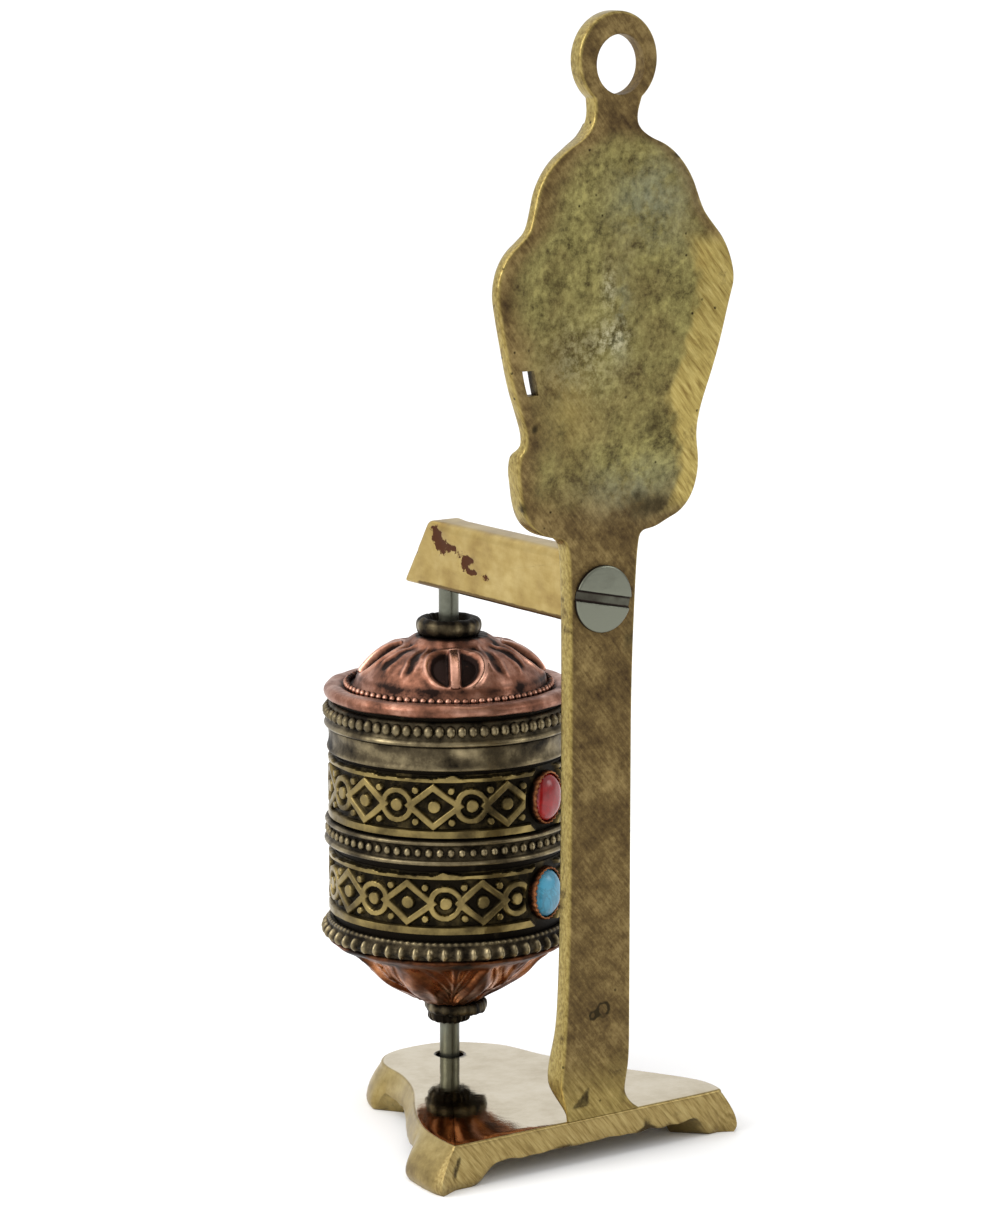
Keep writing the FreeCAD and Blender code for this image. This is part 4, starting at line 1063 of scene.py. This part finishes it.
upper_ring = ring_piece("upper_bead_ring_body", "upper_bead_ring",
                        [(SEAT, 0.0), (18.3, 0.0), (18.75, 0.35), (18.5, 0.8), (18.05, 1.2),
                         (18.05, 3.3), (17.6, 3.7), (SEAT, 3.7)], dark_brass, shade=wear)
upper_beads = beads("upper_beads", 70, 18.0, span("upper_bead_ring")[0][2] + 2.3, (0.95, 0.8, 0.95),
                    dark_brass,
                    "antique_brass", tops=0.66)
middle_ring = ring_piece("middle_strip_body", "middle_bead_strip",
                         [(SEAT, 0.0), (18.2, 0.0), (18.75, 0.25), (18.7, 0.75), (18.0, 1.0),
                          (17.95, 2.9), (18.6, 3.15), (18.65, 3.6), (18.1, 3.8), (SEAT, 3.8)], dark_brass,
                         shade=wear)
middle_beads = beads("middle_beads", 70, 17.95, span("middle_bead_strip")[0][2] + 1.95, (0.7, 0.62, 0.74),
                     dark_brass,
                     "antique_brass", tops=0.8)
fluted_ring = ring_piece("fluted_flange", "lower_flange",
                         [(SEAT, 0.0), (18.4, 0.0), (19.1, 0.4), (19.3, 1.1), (18.9, 1.8),
                          (18.3, 2.1), (18.25, 2.6), (17.9, 2.75), (SEAT, 2.7)], dark_brass,
                         54 * 14, flutes, flute_wear)
neck = ring_piece("neck_band_body", "neck_band",
                  [(SEAT, 0.0), (18.1, 0.0), (18.35, 0.3), (18.05, 1.0), (17.95, 2.2), (18.1, 3.2),
                   (18.0, 3.6), (SEAT, 3.6)],
                  dark_brass,
                  shade=lambda a, r, z: 0.42 + 0.2 * smooth(0.9, 0.3, z)
                  + 0.3 * ripple(5 * np.cos(a), 5 * np.sin(a) + z))

# %% [markdown]
# ## The two friezes
# Raised strips of gold-coloured brass run round the drum on a dark ground.
# The real strips carry a prayer; here they carry a plain chain of
# lozenges and rings that repeats ten times and says nothing.
# Each figure has a distance that is negative inside it, so its
# height is a smooth step on the smallest distance.

# %% Frieze
stone_middle = sum(span("coral_stone_rear")) / 2
STONE_ANGLE = math.atan2(stone_middle[1] - AXLE_Y, stone_middle[0])
REPEATS = 10
REPEAT_WIDTH = 11.31
BAND_HEIGHT = 9.3
BAND_LENGTH = 113.1  # once round at the radius of the raised strip
BAND_RADIUS = 18.0
GROUND = 17.38  # radius of the dark ground between the figures


def ornament(u, v):
    """Height from 0 to 1 of one repeat, mirrored left to right and top to bottom.

    A lozenge is where the two scaled distances from the middle add up to one.
    A ring is where the distance from the repeat's side is one radius.
    Each has a boss in its centre, and four drops lie round the lozenge.
    A rail closes the band above and below.
    """
    across = np.abs(u - REPEAT_WIDTH / 2)
    aside = REPEAT_WIDTH / 2 - across
    up = np.abs(v - BAND_HEIGHT / 2)
    half_width, half_height = 3.7, 2.9
    slant = 2.25  # millimetres for each unit of the lozenge's scaled distance
    lozenge = np.abs(across / half_width + up / half_height - 1) * slant - 0.5
    boss_radius = 0.95
    boss = np.hypot(across, up) - boss_radius
    ring_radius = 2.2
    ring = np.abs(np.hypot(aside, up) - ring_radius) - 0.45
    eye = np.hypot(aside, up) - boss_radius
    drop = np.hypot(across - 2.7, up - 2.35) - 0.55
    rail = 3.55 - up
    return smooth(0.14, -0.1, np.minimum.reduce(np.broadcast_arrays(lozenge, boss, ring, eye, drop, rail)))


def frieze(name, node, mirrored, turn):
    """A band of revolution whose radius is the ground plus the
    ornament's height; it stays low round the stones."""
    low, high = span(node)
    proud = float(high[0] - low[0]) / 2 - GROUND
    steps, levels = 1040, 76
    a = np.linspace(0, 2 * np.pi, steps, endpoint=False)[None, :]
    v = np.linspace(0, high[2] - low[2], levels)[:, None]
    pitch = BAND_LENGTH / REPEATS
    wave = 0.12 * ripple(4 * np.cos(a), 4 * np.sin(a))
    u = ((a + turn) * BAND_RADIUS + 0.2 * ripple(0.6 * v, 3 * np.cos(a))) % pitch
    u = pitch - u if mirrored else u
    height = ornament(u, v + wave)
    peak = (9.05 + 0.2 * ripple(16 * np.cos(a), 16 * np.sin(a))
            + 0.35 * np.exp(-(((a * 3 + turn) % (2 * np.pi) - 3.1) / 0.12) ** 2))
    height = height * smooth(peak, peak - 0.2, v)
    stone_v = (span("turquoise_stone_rear" if low[2] < 40 else "coral_stone_rear")[0][2] - low[2]) + 3.6
    for centre in (STONE_ANGLE, STONE_ANGLE + np.pi):
        away = (a - centre + np.pi) % (2 * np.pi) - np.pi
        height = height * smooth(4.2, 4.8, np.hypot(away * 17.5, (v - stone_v) * 0.85))
    skin = GROUND + proud * height + 0.05 * ripple(14 * np.cos(a), 14 * np.sin(a) + 1.3 * v) * height
    inner = np.full((1, steps), SEAT)
    r = np.vstack([inner, skin, inner, inner])
    z = low[2] + np.vstack([v[:1], v, v[-1:], v[:1]])
    points = np.stack([r * np.cos(a), r * np.sin(a), np.broadcast_to(z, r.shape)], axis=-1)
    wear_off = 0.26 * ripple(6 * np.cos(a) + 0.4 * v, 6 * np.sin(a), 3.0)
    shade = np.vstack([inner * 0, 0.12 + height * (0.54 + wear_off), inner * 0, inner * 0])
    return make_piece(name, points.reshape(-1, 3), quads(len(r), steps, closed=True), antique_brass, "drum",
                      [node], np.clip(shade, 0, 1).ravel(), None, 50)


upper_frieze = frieze("upper_frieze", "upper_frieze_band", False, 0.1)
lower_frieze = frieze("lower_frieze", "lower_frieze_band", True, 0.32)
print("stones at", round(math.degrees(STONE_ANGLE), 1), "degrees and opposite")

# %% [markdown]
# ## Collars
# A cupped collar holds the dome to the axle, and a ragged stepped one holds the bowl.
# They are turned, then pushed out unevenly by hand, and the lower one sits a little off centre.

# %% Collars


def top_collar():
    """A fat rolled ring with a hollow top."""
    low, high = span("top_collar")
    b, t = low[2], high[2]
    profile = soften([(COLLAR_BORE, b), (4.4, b), (4.7, b + 0.5), (4.95, b + 1.3), (4.8, b + 2.1), (4.2, t),
                      (3.5, t), (3.1, t - 0.5), (2.9, t - 1.2), (COLLAR_BORE, t - 1.2)], 2, closed=True)
    profile = spaced(profile, 70, closed=True)
    profile = np.vstack([profile, profile[:1]])
    a = np.linspace(0, 2 * np.pi, 160, endpoint=False)[None, :]
    r = profile[:, :1]
    bumps = 0.09 * ripple(2.6 * np.cos(a) * 3, 2.6 * np.sin(a) * 3 + profile[:, 1:]) * (r > 3)
    shade = 0.08 + 0.36 * smooth(4.5, 4.95, r) + 0.3 * ripple(5 * np.cos(a), 5 * np.sin(a), 1.0)
    points, faces = turned(profile, 160, bumps)
    return make_piece("top_collar_ring", points, faces, dark_brass, "drum", ["top_collar"],
                      np.clip(shade, 0, 1).ravel(), None, 50)


def bottom_collar():
    """Two rounded steps; the upper, wider one is shifted sideways and both are ragged."""
    low, high = span("bottom_collar")
    b, t = low[2], high[2]
    profile = soften([(COLLAR_BORE, b), (2.6, b), (3.15, b + 0.4), (3.25, b + 1.0), (3.1, b + 1.5),
                      (4.2, b + 1.55), (4.7, b + 2.0), (4.65, b + 2.8), (4.3, t), (COLLAR_BORE, t)], 2,
                     closed=True)
    profile = spaced(profile, 70, closed=True)
    profile = np.vstack([profile, profile[:1]])
    a = np.linspace(0, 2 * np.pi, 160, endpoint=False)[None, :]
    r, z = profile[:, :1], profile[:, 1:]
    bumps = ((0.22 * ripple(7 * np.cos(a), 7 * np.sin(a) + z)
              + 0.08 * ripple(20 * np.cos(a), 20 * np.sin(a))) * (r > 2.4))
    sway = 0.95 * smooth(b + 1.4, b + 1.7, profile[:, 1]) * smooth(1.6, 3.0, profile[:, 0])
    sway = sway[:, None] * np.array([-0.82, 0.57])
    shade = 0.1 + 0.5 * smooth(4.3, 4.9, r) + 0.3 * ripple(6 * np.cos(a), 6 * np.sin(a), 2.0)
    points, faces = turned(profile, 160, bumps, sway)
    return make_piece("bottom_collar_ring", points, faces, dark_brass, "drum",
                      ["bottom_collar"],
                      np.clip(shade, 0, 1).ravel(), None, 50)


upper_collar = top_collar()
lower_collar = bottom_collar()

# %% [markdown]
# ## Stones in their bezels
# Coral and turquoise drops sit in copper settings on the two friezes, one pair in front and one behind.
# A stone is half an egg with a flatter crown, and its bezel is an oval rope of copper pushed over its edge.

# %% Stones and bezels


def on_drum(u, v, w, angle, height):
    """Turns sideways, upward and outward lengths into places on the drum at an angle and a height."""
    x = w * math.cos(angle) - u * math.sin(angle)
    y = w * math.sin(angle) + u * math.cos(angle)
    return np.stack([x, y, height + v], axis=-1).reshape(-1, 3)


def stone(kind, side, finish):
    """Rings of an oval that shrink as they rise, by the circle formula made a little squarer."""
    low, high = span(f"{kind}_stone_{side}")
    middle = (low + high) / 2
    angle = STONE_ANGLE if side == "rear" else STONE_ANGLE + math.pi
    height = float(middle[2])
    t = np.linspace(0, 1, 22)[:, None]
    a = np.linspace(0, 2 * np.pi, 72, endpoint=False)[None, :]
    share = np.sin(t * np.pi / 2)
    rise = 2.15 * np.cos(t * np.pi / 2) ** 0.8 + 0.06 * ripple(3 * np.cos(a) * share, 3 * np.sin(a) * share)
    u = 3.1 * share * np.cos(a)
    v = 3.6 * share * np.sin(a)
    w = 17.25 + rise
    back = np.full((1, 72), 17.0)
    u, v, w = np.vstack([u, u[-1:], 0 * u[:1]]), np.vstack([v, v[-1:],
                                                            0 * v[:1]]), np.vstack([w, back, back])
    points = on_drum(u, v, w, angle, height)
    return make_piece(f"{kind}_drop_{side}", points, quads(24, 72, closed=True), finish, "drum",
                      [f"{kind}_stone_{side}"], 0.7, None, 60)


def bezel(kind, side):
    """An oval rope: a small circle carried round the oval, pinched into teeth by a fast wave."""
    low, high = span(f"{kind}_bezel_{side}")
    angle = STONE_ANGLE if side == "rear" else STONE_ANGLE + math.pi
    height = float(low[2] + high[2]) / 2
    a = np.linspace(0, 2 * np.pi, 132, endpoint=False)[None, :]
    section = soften([(0.02, -1.0), (0.42, -1.0), (0.45, 0.4), (0.36, 0.95), (0.15, 1.15), (0.0, 0.95),
                      (0.0, 0.3)], 2, closed=True)
    section = np.vstack([section, section[:1]])
    tooth = 1 - 0.22 * (0.5 + 0.5 * np.cos(26 * a)) * (section[:, 1:] > 0.6)
    grow = section[:, :1] * tooth
    u = (3.12 + grow) * np.cos(a)
    v = (3.62 + grow) * np.sin(a)
    w = 17.3 + section[:, 1:] * tooth
    shade = 0.15 + 0.5 * smooth(0.3, 1.0, section[:, 1:]) * tooth + 0 * a
    points = on_drum(u, v, w, angle, height)
    return make_piece(f"{kind}_setting_{side}", points, quads(len(section), 132, closed=True), dark_copper,
                      "drum",
                      [f"{kind}_bezel_{side}"], np.clip(shade, 0, 1).ravel(), None, 45)


for side in ("rear", "front"):
    stone("coral", side, coral)
    stone("turquoise", side, turquoise)
    bezel("coral", side)
    bezel("turquoise", side)

# %% [markdown]
# ## Pieces kept from the model
# The drum's inner shell, the rolled prayer scroll and its thread already have the right shape.
# They keep the model's meshes and only get a finish.

# %% Model pieces
for node, finish in (("drum_shell", dark_brass), ("prayer_scroll", paper), ("scroll_thread", cotton)):
    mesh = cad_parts[node].data
    mesh.materials.clear()
    mesh.materials.append(finish)
print("kept from the model: drum_shell, prayer_scroll, scroll_thread")

# %% [markdown]
# ## Floor, light and camera
# The wheel stands on a wide pale floor under soft light from everywhere.
# Metal shows what surrounds it, so the sky is brighter on one side and darker behind the viewer.
# One broad lamp from the left draws long soft highlights, and a weaker one lifts the other side.

# %% Stage


def floor_finish():
    """Pale matt paper with a very faint mottle."""
    f = Finish("floor_paper")
    cloud = f.noise(6.0, 3.0, 0.5)
    return f.done(f.mix(cloud, (0.92, 0.92, 0.92, 1), (0.95, 0.95, 0.95, 1)), 0.9,
                  f.bump(cloud, 0.02, 0.0002), 0.0)


floor_mesh = bpy.data.meshes.new("floor")
floor_mesh.from_pydata([(-30, -30, 0), (30, -30, 0), (30, 30, 0), (-30, 30, 0)], [], [(0, 1, 2, 3)])
floor_mesh.materials.append(floor_finish())
floor = bpy.data.objects.new("floor", floor_mesh)
bpy.context.scene.collection.objects.link(floor)


def sky():
    """Light from all round: full on the left, dimmer towards the viewer's right and behind the viewer."""
    world = bpy.data.worlds.new("studio")
    world.use_nodes = True
    bpy.context.scene.world = world
    tree = world.node_tree
    place = tree.nodes.new("ShaderNodeTexCoord")
    dot = tree.nodes.new("ShaderNodeVectorMath")
    dot.operation = "DOT_PRODUCT"
    dot.inputs[1].default_value = (0.72, -0.62, 0.3)
    ramp = tree.nodes.new("ShaderNodeMapRange")
    ramp.inputs["From Min"].default_value = -0.9
    ramp.inputs["From Max"].default_value = 0.7
    ramp.inputs["To Min"].default_value = 0.55
    ramp.inputs["To Max"].default_value = 1.15
    tree.links.new(place.outputs["Generated"], dot.inputs[0])
    tree.links.new(dot.outputs["Value"], ramp.inputs["Value"])
    tree.links.new(ramp.outputs[0], tree.nodes["Background"].inputs["Strength"])
    tree.nodes["Background"].inputs["Color"].default_value = (1, 1, 1, 1)


def lamp(name, place, aim, size, power):
    """A square soft lamp at a place, facing a point."""
    data = bpy.data.lights.new(name, "AREA")
    data.shape = "SQUARE"
    data.size = size
    data.energy = power
    light = bpy.data.objects.new(name, data)
    light.location = place
    light.rotation_euler = (Vector(aim) - Vector(place)).to_track_quat("-Z", "Y").to_euler()
    bpy.context.scene.collection.objects.link(light)


sky()
lamp("left_window", (0.75, -0.1, 0.5), (0, 0, 0.08), 0.5, 3.0)
lamp("right_fill", (-0.6, 0.5, 0.45), (0, 0, 0.09), 0.35, 1.2)
sun_data = bpy.data.lights.new("high_light", "SUN")
sun_data.energy = 0.9
sun_data.angle = math.radians(70)
sun = bpy.data.objects.new("high_light", sun_data)
sun.rotation_euler = (math.radians(12), math.radians(18), 0)
bpy.context.scene.collection.objects.link(sun)
bpy.context.scene.view_settings.view_transform = "Standard"
print("floor and sky ready;", "three lights: left_window, right_fill, high_light")

# %% [markdown]
# ## Where the viewer stands
# The view is from behind and a little above, close enough for some perspective.
# Three axes and a place set the camera; they were worked out once from the drum's rings, post and base.

# %% Camera
camera_data = bpy.data.cameras.new("viewer")
camera_data.sensor_width = 36.0
camera_data.lens = 120.5
viewer = bpy.data.objects.new("viewer", camera_data)
right = Vector((-0.81909, 0.57367, 0.0))
up = Vector((-0.10252, -0.14638, 0.98390))
back = Vector((0.56443, 0.80590, 0.17871))
eye = Vector((0.33792, 0.49579 - 0.0118, 0.18358))
viewer.matrix_world = Matrix([(*axes, place) for *axes, place in zip(right, up, back, eye)] + [(0, 0, 0, 1)])
bpy.context.scene.collection.objects.link(viewer)
bpy.context.scene.camera = viewer
print("camera at", [round(x, 3) for x in eye], "metres, lens", round(camera_data.lens, 1))
